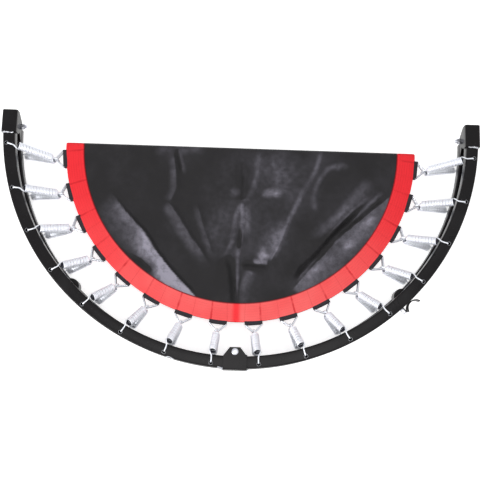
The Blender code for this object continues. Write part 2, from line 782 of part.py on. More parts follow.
def build():
    """Make the folded trampoline."""
    clear_scene()
    near = empty("near_half", (0, 0, 0))
    far = empty("far_half", (0, 0, 0), turn=(0, HALF_TURN, 0))
    for layer, carrier in (("near", near), ("far", far)):
        half_ring(layer, carrier)
        mat_carrier = empty(layer + "_mat_half", (0, -FOLD_SLACK, LAYER_HEIGHT), parent=carrier)
        half_mat(layer, mat_carrier)
    for name, side in (("left", -1), ("right", 1)):
        end_bracket(name + "_end_bracket", side, near)
        end_bolt(name, side, near)
        end_lug(name + "_end_lug", -side, far)
    saddle(near)
    stud(near)
    for made in solids.objects:
        if made.type == "MESH" and not made.name.endswith(("_mat", "_border")):
            made.data.shade_smooth()
            made.data.set_sharp_from_angle(angle=SHARP_ANGLE)
    set_down([near, far])


build()
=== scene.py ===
"""Folding mini trampoline: the visible pieces, built as an add-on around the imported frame."""

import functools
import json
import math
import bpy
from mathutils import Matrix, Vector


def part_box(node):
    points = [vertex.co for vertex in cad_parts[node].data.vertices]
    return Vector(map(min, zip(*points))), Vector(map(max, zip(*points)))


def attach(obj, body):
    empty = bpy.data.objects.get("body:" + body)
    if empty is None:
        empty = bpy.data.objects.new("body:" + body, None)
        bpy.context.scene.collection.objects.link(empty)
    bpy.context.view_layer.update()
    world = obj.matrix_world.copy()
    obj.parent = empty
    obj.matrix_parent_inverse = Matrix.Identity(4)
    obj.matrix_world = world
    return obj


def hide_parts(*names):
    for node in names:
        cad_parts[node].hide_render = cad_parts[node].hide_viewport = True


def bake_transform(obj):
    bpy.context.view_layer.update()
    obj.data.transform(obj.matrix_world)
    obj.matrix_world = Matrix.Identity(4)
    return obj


bl_info = {
    "name": "Folding Mini Trampoline",
    "version": (1, 0, 0),
    "blender": (4, 5, 0),
    "location": "3D View > Sidebar > Trampoline",
    "description": "Builds the visible pieces of a folding mini trampoline around its frame",
    "category": "Add Mesh",
}

import bmesh
import bpy
import numpy as np
from bpy.props import FloatProperty, FloatVectorProperty, IntProperty, PointerProperty
from mathutils import Matrix, Vector, noise

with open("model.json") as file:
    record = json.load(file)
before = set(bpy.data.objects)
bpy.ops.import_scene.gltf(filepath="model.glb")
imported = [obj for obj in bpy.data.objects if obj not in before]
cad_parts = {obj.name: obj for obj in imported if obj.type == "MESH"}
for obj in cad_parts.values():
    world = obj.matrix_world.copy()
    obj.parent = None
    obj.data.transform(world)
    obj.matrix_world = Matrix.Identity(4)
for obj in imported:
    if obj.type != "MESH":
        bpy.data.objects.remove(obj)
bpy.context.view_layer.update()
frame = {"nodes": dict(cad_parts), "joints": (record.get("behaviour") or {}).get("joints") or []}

FOLD = Vector(frame["joints"][0]["pos_m"])
TUBE_BOX = [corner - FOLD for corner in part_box("near_left_tube")]
QUARTER = math.pi / 2
HALF_TURN = math.pi
WHOLE_TURN = 2 * math.pi
LAYERS = ("near", "far")
SIDES = (("left", -1), ("right", 1))
TURNED_HOOKS = range(2, 8)  # springs, counted from one end, whose hook leans the other way
MERGE = 0.00001
MM = 1000  # millimetres in a metre
SEAM_CATCH = 0.0015  # how much of the mat's cloth is caught in the border's seam


def metres(name, description, default):
    """A length that a user may change."""
    return FloatProperty(name=name, description=description, unit="LENGTH", default=default)


def tint(name, description, default):
    """A colour that a user may change."""
    return FloatVectorProperty(name=name, description=description, subtype="COLOR",
                               default=default, min=0, max=1)


class RingSettings(bpy.types.PropertyGroup):
    """Sizes of the ring of square tube."""

    radius: metres("Ring Radius", "Outside of the tube", -TUBE_BOX[0].x)
    tube: metres("Tube Side", "Width of the square tube", TUBE_BOX[1].z - TUBE_BOX[0].z)
    under: metres("Tube Height", "From the fold's axis to the tube", TUBE_BOX[0].z)
    wall: metres("Tube Wall", "Thickness of the steel", 0.0015)
    corner: metres("Corner Radius", "Round of the tube's corners", 0.0035)
    gap: metres("End Gap", "Between two quarter arcs", 0.0006)
    hole_inset: metres("Hole Inset", "Spring hole from the outside", 0.008)
    hole: metres("Hole Radius", "Radius of a spring hole", 0.0036)


class SpringSettings(bpy.types.PropertyGroup):
    """Sizes of the coil springs and their hooks."""

    per_quarter: IntProperty(name="Springs", description="Springs on a quarter arc", default=8)
    wire: metres("Wire Radius", "Radius of the spring wire", 0.0015)
    coil: metres("Coil Radius", "Outside of the coil", 0.0085)
    pitch: metres("Coil Pitch", "Distance from turn to turn", 0.0031)
    tip: metres("Hook Tip", "Depth of the hook in its hole", 0.007)
    lead: metres("Hook Lead", "From the tube's edge to the coil", 0.006)
    tail: metres("Hook Tail", "From the coil to the ring", 0.008)
    eye: metres("Eye Radius", "Radius of the inner hook", 0.0042)


class MatSettings(bpy.types.PropertyGroup):
    """Sizes of the mat, its border, loops and rings."""

    radius: metres("Mat Radius", "Outside of the border", 0.372)
    band: metres("Border Width", "Width of the red border", 0.039)
    band_thickness: metres("Border Thickness", "Folded webbing", 0.0036)
    cloth: metres("Mat Thickness", "Thickness of the woven mat", 0.0012)
    layer: metres("Layer Height", "From the fold's axis to the mat", 0.006)
    slack: metres("Slack", "How far the crease hangs from the fold", 0.032)
    crease_gap: metres("Crease Gap", "Between the two half mats", 0.0003)
    loop: metres("Loop Width", "Width of a webbing loop", 0.0368)
    loop_thickness: metres("Loop Thickness", "Webbing of a loop", 0.0011)
    ring_wire: metres("Ring Wire", "Radius of a triangular ring's wire", 0.0018)
    ring_base: metres("Ring Base", "Long side of a triangular ring", 0.0405)
    ring_seat: metres("Ring Seat", "Ring's base beyond the border", 0.0035)
    ring_reach: metres("Ring Reach", "Ring's nose beyond the border", 0.021)
    ring_nose: metres("Ring Nose", "Width of the ring's nose", 0.0044)


class FinishSettings(bpy.types.PropertyGroup):
    """Colours of the finishes."""

    coat: tint("Powder Coat", "Ring and hinges", (0.0048, 0.0040, 0.0048))
    zinc: tint("Spring Zinc", "Springs", (0.91, 0.93, 0.985))
    plated: tint("Zinc Plate", "Rings, bolts and rivets", (0.60, 0.61, 0.66))
    weld: tint("Weld", "Weld beads", (0.62, 0.63, 0.67))
    cloth: tint("Mat", "Woven mat", (0.018, 0.0165, 0.0185))
    border: tint("Border", "Red webbing", (0.98, 0.032, 0.044))
    loop: tint("Loops", "Webbing of the loops", (0.028, 0.025, 0.031))


class StageSettings(bpy.types.PropertyGroup):
    """Floor, lights and camera."""

    lens: FloatProperty(name="Lens", description="Focal length in millimetres", default=63.8)
    place: FloatVectorProperty(name="Camera Place", description="Where the camera stands",
                               subtype="TRANSLATION", default=(-0.017, -0.300, 1.808))
    turn: FloatVectorProperty(name="Camera Turn", description="Turn of the camera",
                              subtype="EULER",
                              default=(math.radians(9.9), math.radians(-0.97), math.radians(1.7)))
    floor: metres("Floor Width", "Width of the floor", 12.0)


class TrampolineSettings(bpy.types.PropertyGroup):
    """All that a user would change."""

    ring: PointerProperty(type=RingSettings)
    spring: PointerProperty(type=SpringSettings)
    mat: PointerProperty(type=MatSettings)
    finish: PointerProperty(type=FinishSettings)
    stage: PointerProperty(type=StageSettings)


def settings():
    """The scene's settings for this object."""
    return bpy.context.scene.trampoline


# Node groups and materials


def feed(tree, node, inputs):
    """Link or set a node's inputs."""
    for key, value in inputs.items():
        if isinstance(value, bpy.types.NodeSocket):
            tree.links.new(value, node.inputs[key])
        else:
            node.inputs[key].default_value = value
    return node


def add(tree, kind, inputs=None, **values):
    """Add a shader node, set its values and feed its inputs."""
    made = tree.nodes.new(kind)
    for key, value in values.items():
        setattr(made, key, value)
    return feed(tree, made, inputs or {})


def calculate(tree, operation, first, second=0.0, third=0.0):
    """A Math node's result."""
    made = add(tree, "ShaderNodeMath", {0: first, 1: second, 2: third}, operation=operation)
    return made.outputs[0]


def product(tree, first, second):
    """The product of two values."""
    return calculate(tree, "MULTIPLY", first, second)


def distance(tree, first, second):
    """How far apart two values are."""
    return calculate(tree, "ABSOLUTE", calculate(tree, "SUBTRACT", first, second))


def phase(tree, value, period):
    """The share of its period that a value has reached."""
    return calculate(tree, "FRACT", calculate(tree, "DIVIDE", value, period))


def between(tree, value, low, high, out_low=0.0, out_high=1.0):
    """A value mapped smoothly from one range to another."""
    made = add(tree, "ShaderNodeMapRange", {"Value": value, "From Min": low, "From Max": high,
                                            "To Min": out_low, "To Max": out_high},
               interpolation_type="SMOOTHSTEP")
    return made.outputs["Result"]


def mixed(tree, share, first, second):
    """Two colours mixed."""
    factor, colour_a, colour_b, result = 0, 6, 7, 2
    made = add(tree, "ShaderNodeMix", {factor: share, colour_a: first, colour_b: second},
               data_type="RGBA")
    return made.outputs[result]


def noise_of(tree, vector, scale, detail=2.0, roughness=0.5):
    """A noise texture's value."""
    made = add(tree, "ShaderNodeTexNoise", {"Vector": vector, "Scale": scale, "Detail": detail,
                                            "Roughness": roughness})
    return made.outputs["Fac"]


def once(store, name):
    """Let a function build the node group or material of a name once, and find it after that."""
    def wrap(build):
        @functools.wraps(build)
        def find():
            held = getattr(bpy.data, store)
            return held[name] if name in held else build(name)
        return find
    return wrap


def new_group(name, inputs, outputs):
    """A node group with its sockets. Returns the tree, its input node and its output node."""
    tree = bpy.data.node_groups.new(name, "ShaderNodeTree")
    for label, kind in inputs:
        tree.interface.new_socket(label, in_out="INPUT", socket_type="NodeSocket" + kind)
    for label, kind in outputs:
        tree.interface.new_socket(label, in_out="OUTPUT", socket_type="NodeSocket" + kind)
    return tree, tree.nodes.new("NodeGroupInput"), tree.nodes.new("NodeGroupOutput")


@once("node_groups", "Surface Wear")
def surface_group(name):
    """Patchy tone, fine grain and pale dust for hard surfaces."""
    tree, start, end = new_group(
        name,
        [("Vector", "Vector"), ("Colour", "Color"), ("Dust Colour", "Color"), ("Dust", "Float"),
         ("Grain Scale", "Float"), ("Low Roughness", "Float"), ("High Roughness", "Float")],
        [("Colour", "Color"), ("Roughness", "Float"), ("Height", "Float")])
    given = start.outputs
    cloud = noise_of(tree, given["Vector"], 11.0, 4.0)
    flecks = between(tree, noise_of(tree, given["Vector"], 420.0, 1.0), 0.70, 0.78)
    film = between(tree, cloud, 0.45, 0.75, 0.0, 0.35)
    dust = product(tree, calculate(tree, "MAXIMUM", flecks, film), given["Dust"])
    rough = add(tree, "ShaderNodeMapRange", {
        "Value": cloud, "From Min": 0.35, "From Max": 0.65,
        "To Min": given["Low Roughness"], "To Max": given["High Roughness"]})
    feed(tree, end, {"Colour": mixed(tree, dust, given["Colour"], given["Dust Colour"]),
                     "Roughness": rough.outputs["Result"],
                     "Height": noise_of(tree, given["Vector"], given["Grain Scale"])})
    return tree


@once("node_groups", "Plain Weave")
def weave_group(name):
    """Plain weave of flat threads on a map in metres."""
    tree, start, end = new_group(
        name,
        [("Vector", "Vector"), ("Colour", "Color"), ("Gap Colour", "Color"), ("Thread", "Float")],
        [("Colour", "Color"), ("Height", "Float")])
    given = start.outputs
    apart = add(tree, "ShaderNodeSeparateXYZ", {0: given["Vector"]})
    waves = []
    for axis in (0, 1):
        threads = calculate(tree, "DIVIDE", apart.outputs[axis], given["Thread"])
        waves.append(calculate(tree, "SINE", product(tree, threads, HALF_TURN)))
    over = between(tree, product(tree, *waves), -0.15, 0.15)
    under = calculate(tree, "SUBTRACT", 1.0, over)
    warp, weft = [calculate(tree, "ABSOLUTE", wave) for wave in waves]
    height = calculate(tree, "ADD", product(tree, warp, over), product(tree, weft, under))
    shade = between(tree, height, 0.1, 0.7)
    feed(tree, end, {"Colour": mixed(tree, shade, given["Gap Colour"], given["Colour"]),
                     "Height": height})
    return tree


@once("node_groups", "Stitch Rows")
def stitch_group(name):
    """Rows of stitches along a band, as a mask, on a map in metres."""
    tree, start, end = new_group(
        name,
        [("Vector", "Vector"), ("Row Spacing", "Float"), ("Stitch", "Float"), ("Thread", "Float")],
        [("Mask", "Float")])
    given = start.outputs
    apart = add(tree, "ShaderNodeSeparateXYZ", {0: given["Vector"]})
    off = distance(tree, phase(tree, apart.outputs[1], given["Row Spacing"]), 0.5)
    in_row = calculate(tree, "LESS_THAN", product(tree, off, given["Row Spacing"]),
                       product(tree, given["Thread"], 0.5))
    share = phase(tree, apart.outputs[0], given["Stitch"])
    dash = calculate(tree, "COMPARE", share, 0.5, 0.36)
    feed(tree, end, {"Mask": product(tree, in_row, dash)})
    return tree


def group_node(tree, group, inputs):
    """A node group placed in a material."""
    return add(tree, "ShaderNodeGroup", inputs, node_tree=group)


def new_material(name):
    """A material with its tree and its Principled BSDF."""
    made = bpy.data.materials.new(name)
    made.use_nodes = True
    return made, made.node_tree, made.node_tree.nodes["Principled BSDF"]


def opaque(colour):
    """A colour with its alpha."""
    return (*colour, 1.0)


def bump(tree, height, depth):
    """A normal that follows a height."""
    return add(tree, "ShaderNodeBump", {"Height": height, "Distance": depth}).outputs["Normal"]


def hard_finish(name, colour, dust_colour, dust, grain, roughness, metallic, bump_depth):
    """A painted or plated steel finish."""
    made, tree, shader = new_material(name)
    place = add(tree, "ShaderNodeTexCoord").outputs["Object"]
    wear = group_node(tree, surface_group(), {
        "Vector": place, "Colour": opaque(colour), "Dust Colour": opaque(dust_colour),
        "Dust": dust, "Grain Scale": grain, "Low Roughness": roughness[0],
        "High Roughness": roughness[1]}).outputs
    feed(tree, shader, {"Base Color": wear["Colour"], "Roughness": wear["Roughness"],
                        "Metallic": metallic, "Normal": bump(tree, wear["Height"], bump_depth)})
    return made


@once("materials", "black powder coat")
def powder_coat(name):
    """Black powder coat with orange peel."""
    made = hard_finish(name, settings().finish.coat, (0.06, 0.06, 0.065), dust=0.3, grain=900.0,
                       roughness=(0.20, 0.34), metallic=0.0, bump_depth=0.00005)
    made.node_tree.nodes["Principled BSDF"].inputs["Specular IOR Level"].default_value = 0.18
    return made


@once("materials", "bright zinc")
def zinc_plate(name):
    """Bright zinc plate on rings, bolts and rivets."""
    return hard_finish(name, settings().finish.plated, (0.40, 0.41, 0.45), dust=0.6, grain=700.0,
                       roughness=(0.20, 0.36), metallic=1.0, bump_depth=0.00002)


@once("materials", "silvered weld")
def weld_metal(name):
    """Bare weld metal, silvered and partly burnt dark."""
    return hard_finish(name, settings().finish.weld, (0.10, 0.10, 0.12), dust=0.8, grain=260.0,
                       roughness=(0.30, 0.6), metallic=1.0, bump_depth=0.0002)


@once("materials", "spring zinc")
def spring_finish(name):
    """Bright zinc plate, with painted shade on the inner side of a coil, read from an attribute."""
    made = hard_finish(name, settings().finish.zinc, (0.60, 0.61, 0.65), dust=0.5, grain=700.0,
                       roughness=(0.48, 0.60), metallic=0.9, bump_depth=0.00002)
    tree = made.node_tree
    shader = tree.nodes["Principled BSDF"]
    outside = shader.inputs["Base Color"].links[0].from_socket
    inside = add(tree, "ShaderNodeAttribute", attribute_name="inside").outputs["Fac"]
    # painted shade: the coil's inner side is mixed towards a dark colour
    feed(tree, shader, {"Base Color": mixed(tree, inside, outside, (0.03, 0.03, 0.045, 1))})
    return made


def woven(name, colour, gap, thread):
    """A woven material on a piece's own map. Returns it with its parts and its gaps' colour."""
    made, tree, shader = new_material(name)
    chart = add(tree, "ShaderNodeUVMap", uv_map="cut").outputs["UV"]
    dark = opaque([share * gap for share in colour])
    weave = group_node(tree, weave_group(), {"Vector": chart, "Colour": opaque(colour),
                                             "Gap Colour": dark, "Thread": thread})
    return made, tree, shader, chart, weave.outputs, dark


@once("materials", "woven mat")
def mat_finish(name):
    """Woven black polypropylene with painted sheen on its folds and patches, and painted shade in
    its creases.
    """
    made, tree, shader, chart, weave, dark = woven(name, settings().finish.cloth, gap=0.35,
                                                   thread=0.0011)
    painted_tone = add(tree, "ShaderNodeAttribute", attribute_name="painted_light_tone").outputs["Fac"]
    mottle = between(tree, noise_of(tree, chart, 70.0, 5.0, 0.7), 0.32, 0.68, 0.66, 1.34)
    haze = between(tree, noise_of(tree, chart, 9.0, 5.0, 0.65), 0.45, 0.75, 0.0, 0.045)
    # painted sheen: the attribute's positive tone, mottled, mixes the mat towards a pale bluish
    # colour
    pale = calculate(tree, "MULTIPLY_ADD", calculate(tree, "MAXIMUM", painted_tone, 0.0), mottle, haze)
    # painted shade: the attribute's negative tone darkens the creases
    crease_shade = between(tree, painted_tone, -0.7, 0.0, 1.0, 0.0)
    shaded = mixed(tree, crease_shade, weave["Colour"], dark)
    tone = mixed(tree, calculate(tree, "MINIMUM", pale, 1.0), shaded, (0.30, 0.285, 0.345, 1))
    feed(tree, shader, {
        "Base Color": tone, "Specular IOR Level": 0.20, "Sheen Weight": 0.04,
        "Sheen Roughness": 0.45, "Normal": bump(tree, weave["Height"], 0.00025),
        "Roughness": between(tree, noise_of(tree, chart, 16.0, 3.0), 0.35, 0.65, 0.32, 0.50)})
    return made


@once("materials", "red webbing")
def border_finish(name):
    """Red webbing with rows of stitches and cross seams beside each loop, painted light towards the
    middle of each half and painted shade along its inner edge.
    """
    made, tree, shader, chart, weave, _ = woven(name, settings().finish.border, gap=0.62,
                                                thread=0.0013)
    rows = group_node(tree, stitch_group(), {"Vector": chart, "Row Spacing": 0.0052,
                                             "Stitch": 0.0042, "Thread": 0.0011}).outputs["Mask"]
    apart = add(tree, "ShaderNodeSeparateXYZ", {0: chart}).outputs
    radius = settings().mat.radius
    pitch = radius * QUARTER / settings().spring.per_quarter
    seam_place, tack_place, slant, fray = 0.765, 0.30, 1.1, 0.03
    along = distance(tree, apart[0], radius * (HALF_TURN + QUARTER))
    lean = calculate(tree, "MULTIPLY_ADD", apart[1], slant, phase(tree, along, pitch))
    ragged = calculate(tree, "MULTIPLY_ADD", noise_of(tree, chart, 260.0, 1.0), fray, lean)
    uneven = between(tree, noise_of(tree, chart, 48.0, 2.0), 0.35, 0.65, 0.30, 1.0)
    from_seam = distance(tree, ragged, seam_place)
    seam = product(tree, between(tree, from_seam, 0.012, 0.040, 1.0, 0.0), uneven)
    tack = product(tree, calculate(tree, "COMPARE", ragged, tack_place, 0.008), 0.35)
    bars = calculate(tree, "MAXIMUM", seam, tack)
    cloud = between(tree, noise_of(tree, chart, 9.0, 3.0), 0.30, 0.70, 0.6, 1.1)
    layers = (
        (product(tree, rows, 0.45), (0.74, 0.030, 0.034)),  # stitches
        (product(tree, cloud, between(tree, along, 0.04, 0.52, 0.75, 0.02)),
         (1.0, 0.20, 0.19)),  # painted light: paler towards the middle of the half
        (between(tree, along, 0.002, 0.013, 0.85, 0.0), (0.95, 0.026, 0.036)),  # joined ends
        (product(tree, bars, 0.80), (0.60, 0.018, 0.026)),  # cross seams and tacks
        (between(tree, apart[1], 0.0006, 0.0030, 0.9, 0.0), (0.12, 0.006, 0.008)),  # painted shade along the inner edge, beside the mat
    )
    tone = weave["Colour"]
    for mask, colour in layers:
        tone = mixed(tree, mask, tone, opaque(colour))
    height = calculate(tree, "SUBTRACT", product(tree, weave["Height"], 0.4),
                       calculate(tree, "MAXIMUM", rows, bars))
    feed(tree, shader, {"Base Color": tone, "Roughness": 0.8, "Specular IOR Level": 0.15,
                        "Normal": bump(tree, height, 0.00035)})
    return made


@once("materials", "charcoal webbing")
def loop_finish(name):
    """Charcoal webbing of the loops."""
    made, tree, shader, _, weave, _ = woven(name, settings().finish.loop, gap=0.4, thread=0.0014)
    feed(tree, shader, {"Base Color": weave["Colour"], "Roughness": 0.66,
                        "Specular IOR Level": 0.25, "Sheen Weight": 0.1,
                        "Normal": bump(tree, weave["Height"], 0.0004)})
    return made


# Shapes


def layer_place(layer):
    """From a half ring's own frame, with the fold's axis along x, to the shared frame."""
    turn = Matrix.Rotation(HALF_TURN, 4, "Y") if layer == "far" else Matrix.Identity(4)
    return Matrix.Translation(FOLD) @ turn


def around(radius, angle, height=0.0):
    """A point of the half ring at an angle from +X."""
    return Vector((radius * math.cos(angle), radius * math.sin(angle), height))


def loop_angles():
    """Angles of the springs and loops of a half ring."""
    count = settings().spring.per_quarter
    step = QUARTER / count
    return [HALF_TURN + step * (index + 0.5) for index in range(2 * count)]


def linked(name, data):
    """Put data in a new object of the scene."""
    made = bpy.data.objects.new(name, data)
    bpy.context.scene.collection.objects.link(made)
    return made


def stored(name, shape, place=None):
    """Store a bmesh in a new object's mesh."""
    mesh = bpy.data.meshes.new(name)
    shape.to_mesh(mesh)
    shape.free()
    if place:
        mesh.transform(place)
    return linked(name, mesh)


def evaluated_mesh(made):
    """The mesh that an object's data and modifiers give."""
    bpy.context.view_layer.update()
    evaluated = made.evaluated_get(bpy.context.evaluated_depsgraph_get())
    return bpy.data.meshes.new_from_object(evaluated)


def baked(made):
    """Apply a piece's modifiers."""
    mesh = evaluated_mesh(made)
    old = made.data
    made.modifiers.clear()
    made.data = mesh
    bpy.data.meshes.remove(old)
    return made


def dressed(made, finish, smooth=35.0):
    """Give a piece its material and shading."""
    made.data.materials.clear()
    made.data.materials.append(finish)
    made.data.shade_smooth()
    made.data.set_sharp_from_angle(angle=math.radians(smooth))
    return made


def placed(made, finish, body, node=None, smooth=35.0):
    """Dress a piece, put it on its body and let it stand for its CAD node."""
    dressed(made, finish, smooth)
    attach(made, body)
    if node:
        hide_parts(node)
    return made


def thickened(made, thickness, offset=0, even=False):
    """Give a surface a thickness, as a modifier."""
    wall = made.modifiers.new("thickness", "SOLIDIFY")
    wall.thickness = thickness
    wall.offset = offset
    wall.use_even_offset = even
    return made


def carved(made, *tools):
    """Apply a piece's modifiers and Booleans with (tool, operation) pairs, and drop the tools."""
    for tool, operation in tools:
        cut = made.modifiers.new(tool.name, "BOOLEAN")
        cut.operation = operation
        cut.object = tool
    baked(made)
    for tool, _ in tools:
        bpy.data.objects.remove(tool, do_unlink=True)
    return made


def filleted(corners, radius, steps=4):
    """A closed outline with its corners rounded by arcs."""
    out = []
    count = len(corners)
    for index, corner in enumerate(corners):
        before = corners[index - 1] - corner
        after = corners[(index + 1) % count] - corner
        half = before.angle(after) / 2
        run = min(radius / math.tan(half), before.length / 2, after.length / 2)
        inner = run * math.tan(half)
        middle = corner + (before.normalized() + after.normalized()).normalized() * (
            inner / math.sin(half))
        first = corner + before.normalized() * run - middle
        last = corner + after.normalized() * run - middle
        for step in range(steps + 1):
            out.append(middle + first.slerp(last, step / steps).normalized() * inner)
    return out


def smooth_path(points, samples):
    """A smooth curve through the points, from the first to the last."""
    out = []
    padded = [points[0] * 2 - points[1], *points, points[-1] * 2 - points[-2]]
    for before, first, second, after in zip(padded, padded[1:], padded[2:], padded[3:]):
        for step in range(samples):
            t = step / samples
            out.append(0.5 * (2 * first + (second - before) * t
                              + (2 * before - 5 * first + 4 * second - after) * t ** 2
                              + (3 * first - before - 3 * second + after) * t ** 3))
    return out + [points[-1]]


def wire_shape(paths, radius, cyclic=False, resolution=1, swell=None):
    """Round wire along one or more paths, as a bmesh with its caps welded."""
    data = bpy.data.curves.new("wire", "CURVE")
    data.dimensions = "3D"
    data.bevel_depth = radius
    data.bevel_resolution = resolution
    data.use_fill_caps = not cyclic
    for path in paths:
        line = data.splines.new("POLY")
        line.points.add(len(path) - 1)
        for index, (point, place) in enumerate(zip(line.points, path)):
            point.co = (*place, 1)
            if swell:
                point.radius = swell[index]
        line.use_cyclic_u = cyclic
    holder = linked("wire", data)
    mesh = evaluated_mesh(holder)
    bpy.data.objects.remove(holder, do_unlink=True)
    shape = bmesh.new()
    shape.from_mesh(mesh)
    bpy.data.meshes.remove(mesh)
    bmesh.ops.remove_doubles(shape, verts=shape.verts, dist=MERGE)
    return shape


def swept_shape(profile, steps=48, start=0.0, angle=WHOLE_TURN):
    """A profile of (radius, height) swept about z: open for a whole turn, and closed for less."""
    whole = angle == WHOLE_TURN
    shape = bmesh.new()
    verts = [shape.verts.new((radius, 0, height)) for radius, height in profile]
    edges = [shape.edges.new((verts[index - 1], vert)) for index, vert in enumerate(verts)
             if index or not whole]
    bmesh.ops.rotate(shape, verts=verts, cent=(0, 0, 0), matrix=Matrix.Rotation(start, 3, "Z"))
    bmesh.ops.spin(shape, geom=verts + edges, axis=(0, 0, 1), cent=(0, 0, 0), angle=angle,
                   steps=steps, use_merge=whole)
    bmesh.ops.remove_doubles(shape, verts=shape.verts, dist=MERGE)
    bmesh.ops.recalc_face_normals(shape, faces=shape.faces)
    return shape


def prism(shape, sides, radius, depth, place=(0, 0, 0)):
    """Add an upright prism with its middle at a place."""
    bmesh.ops.create_cone(shape, cap_ends=True, segments=sides, radius1=radius, radius2=radius,
                          depth=depth, matrix=Matrix.Translation(place))
    return shape


def dome(head, top, rise, steps):
    """Profile of a domed head, from its middle to its rim."""
    turns = [QUARTER * step / steps for step in range(steps + 1)]
    return [(head * math.sin(turn), top - rise * (1 - math.cos(turn))) for turn in turns]


def mirrored(profile):
    """The same profile below, from its last point to its first."""
    return [(radius, -height) for radius, height in reversed(profile)]


def softened(node, width):
    """A copy of a CAD node with its flat faces joined and its edges softened."""
    shape = bmesh.new()
    shape.from_mesh(frame["nodes"][node].data)
    bmesh.ops.remove_doubles(shape, verts=shape.verts, dist=MERGE)
    bmesh.ops.dissolve_limit(shape, angle_limit=math.radians(1), verts=shape.verts,
                             edges=shape.edges)
    sharp = [edge for edge in shape.edges
             if len(edge.link_faces) == 2 and edge.calc_face_angle() > math.radians(40)]
    bmesh.ops.bevel(shape, geom=sharp, offset=width, segments=2, profile=0.5, affect="EDGES",
                    material=-1, clamp_overlap=True)
    shape.normal_update()
    bmesh.ops.triangulate(shape, faces=[face for face in shape.faces if len(face.verts) > 4],
                          ngon_method="EAR_CLIP")
    return shape


# Ring of square tube


def tube_shape(start):
    """The outside of a quarter arc of square tube."""
    ring = settings().ring
    half = ring.tube / 2
    middle = Vector((ring.radius - half, 0, ring.under + half))
    square = [Vector((across * half, 0, along * half))
              for across, along in ((1, 1), (1, -1), (-1, -1), (-1, 1))]
    outline = [middle + corner for corner in filleted(square, ring.corner)]
    spare = ring.gap / 2 / (ring.radius - ring.tube)
    return swept_shape([(place.x, place.z) for place in outline], 72, start + spare,
                       QUARTER - 2 * spare)


def hole_places(start):
    """Middle of each spring hole in the top face of a quarter arc."""
    ring = settings().ring
    return [around(ring.radius - ring.hole_inset, angle, ring.under + ring.tube)
            for angle in loop_angles() if start < angle < start + QUARTER]


def hole_drills(start):
    """One drill for each spring hole of a quarter arc."""
    ring = settings().ring
    shape = bmesh.new()
    for place in hole_places(start):
        prism(shape, 20, ring.hole, 4 * ring.wall, place)
    return shape


def hole_rims(layer, side, start):
    """Bare steel that shows round the edge of each spring hole."""
    rim, wire, steps = settings().ring.hole + 0.0002, 0.00022, 20
    paths = [[middle + around(rim, WHOLE_TURN * step / steps) for step in range(steps)]
             for middle in hole_places(start)]
    made = stored("%s_%s_hole_rims" % (layer, side), wire_shape(paths, wire, cyclic=True),
                  layer_place(layer))
    placed(made, weld_metal(), layer + "_frame", smooth=80.0)


def quarter_tube(layer, side, start):
    """A quarter arc, hollow and drilled."""
    name = "%s_%s_arc" % (layer, side)
    made = stored(name, tube_shape(start), layer_place(layer))
    drills = stored(name + "_drills", hole_drills(start), layer_place(layer))
    thickened(made, settings().ring.wall, offset=-1, even=True)
    carved(made, (drills, "DIFFERENCE"))
    placed(made, powder_coat(), layer + "_frame", "%s_%s_tube" % (layer, side))
    hole_rims(layer, side, start)


class TRAMPOLINE_OT_ring(bpy.types.Operator):
    """Add the four quarter arcs of square tube"""

    bl_idname = "trampoline.ring"
    bl_label = "Ring Tubes"

    def execute(self, context):
        quarter_tube("near", "left", HALF_TURN)
        quarter_tube("near", "right", HALF_TURN + QUARTER)
        quarter_tube("far", "right", HALF_TURN)
        quarter_tube("far", "left", HALF_TURN + QUARTER)
        return {"FINISHED"}


# Hinges and leg fittings


def plate(node, body, name):
    """A bent plate with softened edges."""
    made = stored(name, softened(node, 0.00035))
    placed(made, powder_coat(), body, node)
    made.modifiers.new("flat sides", "WEIGHTED_NORMAL").keep_sharp = True


def fold_bolt(side, sign):
    """The fold's bolt with a domed head, a plain shank and a threaded tail."""
    node = side + "_fold_bolt"
    low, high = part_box(node)
    top = high.x - low.x
    head, thick, shank = 0.0075, 0.005, 0.004
    thread, pitch, depth, tip = 0.016, 0.00125, 0.0005, 0.0008
    profile = dome(head, top, thick * 0.8, 6)
    profile += [(head, top - thick), (shank, top - thick), (shank, thread)]
    while thread > pitch:
        profile += [(shank - depth, thread - pitch / 2), (shank, thread - pitch)]
        thread -= pitch
    profile += [(shank - tip, 0), (0, 0)]
    inner = low.x if sign > 0 else high.x
    place = Matrix.Translation((inner, FOLD.y, FOLD.z)) @ Matrix.Rotation(sign * QUARTER, 4, "Y")
    made = stored(side + "_hinge_bolt", swept_shape(profile), place)
    placed(made, zinc_plate(), "near_frame", node)


def fold_nut(side, sign):
    """A hexagon nut with chamfered corners and an open bore."""
    node = side + "_fold_nut"
    low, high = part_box(node)
    height = high.x - low.x
    reach = (high.z - low.z) / 2
    bore, face, rim, flank = 0.0044, reach * 0.88, reach * 1.02, height * 0.32
    made = stored(side + "_hinge_nut", prism(bmesh.new(), 6, reach, height))
    drill = stored("bore", prism(bmesh.new(), 32, bore, 3 * height))
    upper = [(0, height / 2), (face, height / 2), (rim, flank)]
    chamfer = stored("chamfer", swept_shape(upper + mirrored(upper)))
    carved(made, (drill, "DIFFERENCE"), (chamfer, "INTERSECT"))
    middle = (low + high) / 2
    made.data.transform(Matrix.Translation(middle) @ Matrix.Rotation(sign * QUARTER, 4, "Y"))
    placed(made, zinc_plate(), "near_frame", node)


def centre_rivet(layer):
    """The rivet of a centre hinge, with a low domed head on each side."""
    node = layer + "_centre_pin"
    low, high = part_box(node)
    half = (high.z - low.z) / 2
    head, shank, thick = (high.x - low.x) / 2, 0.004, 0.002
    upper = dome(head, half, thick * 0.75, 5) + [(head, half - thick), (shank, half - thick)]
    made = stored(layer + "_centre_rivet", swept_shape(upper + mirrored(upper)),
                  Matrix.Translation((low + high) / 2))
    placed(made, zinc_plate(), layer + "_frame", node)


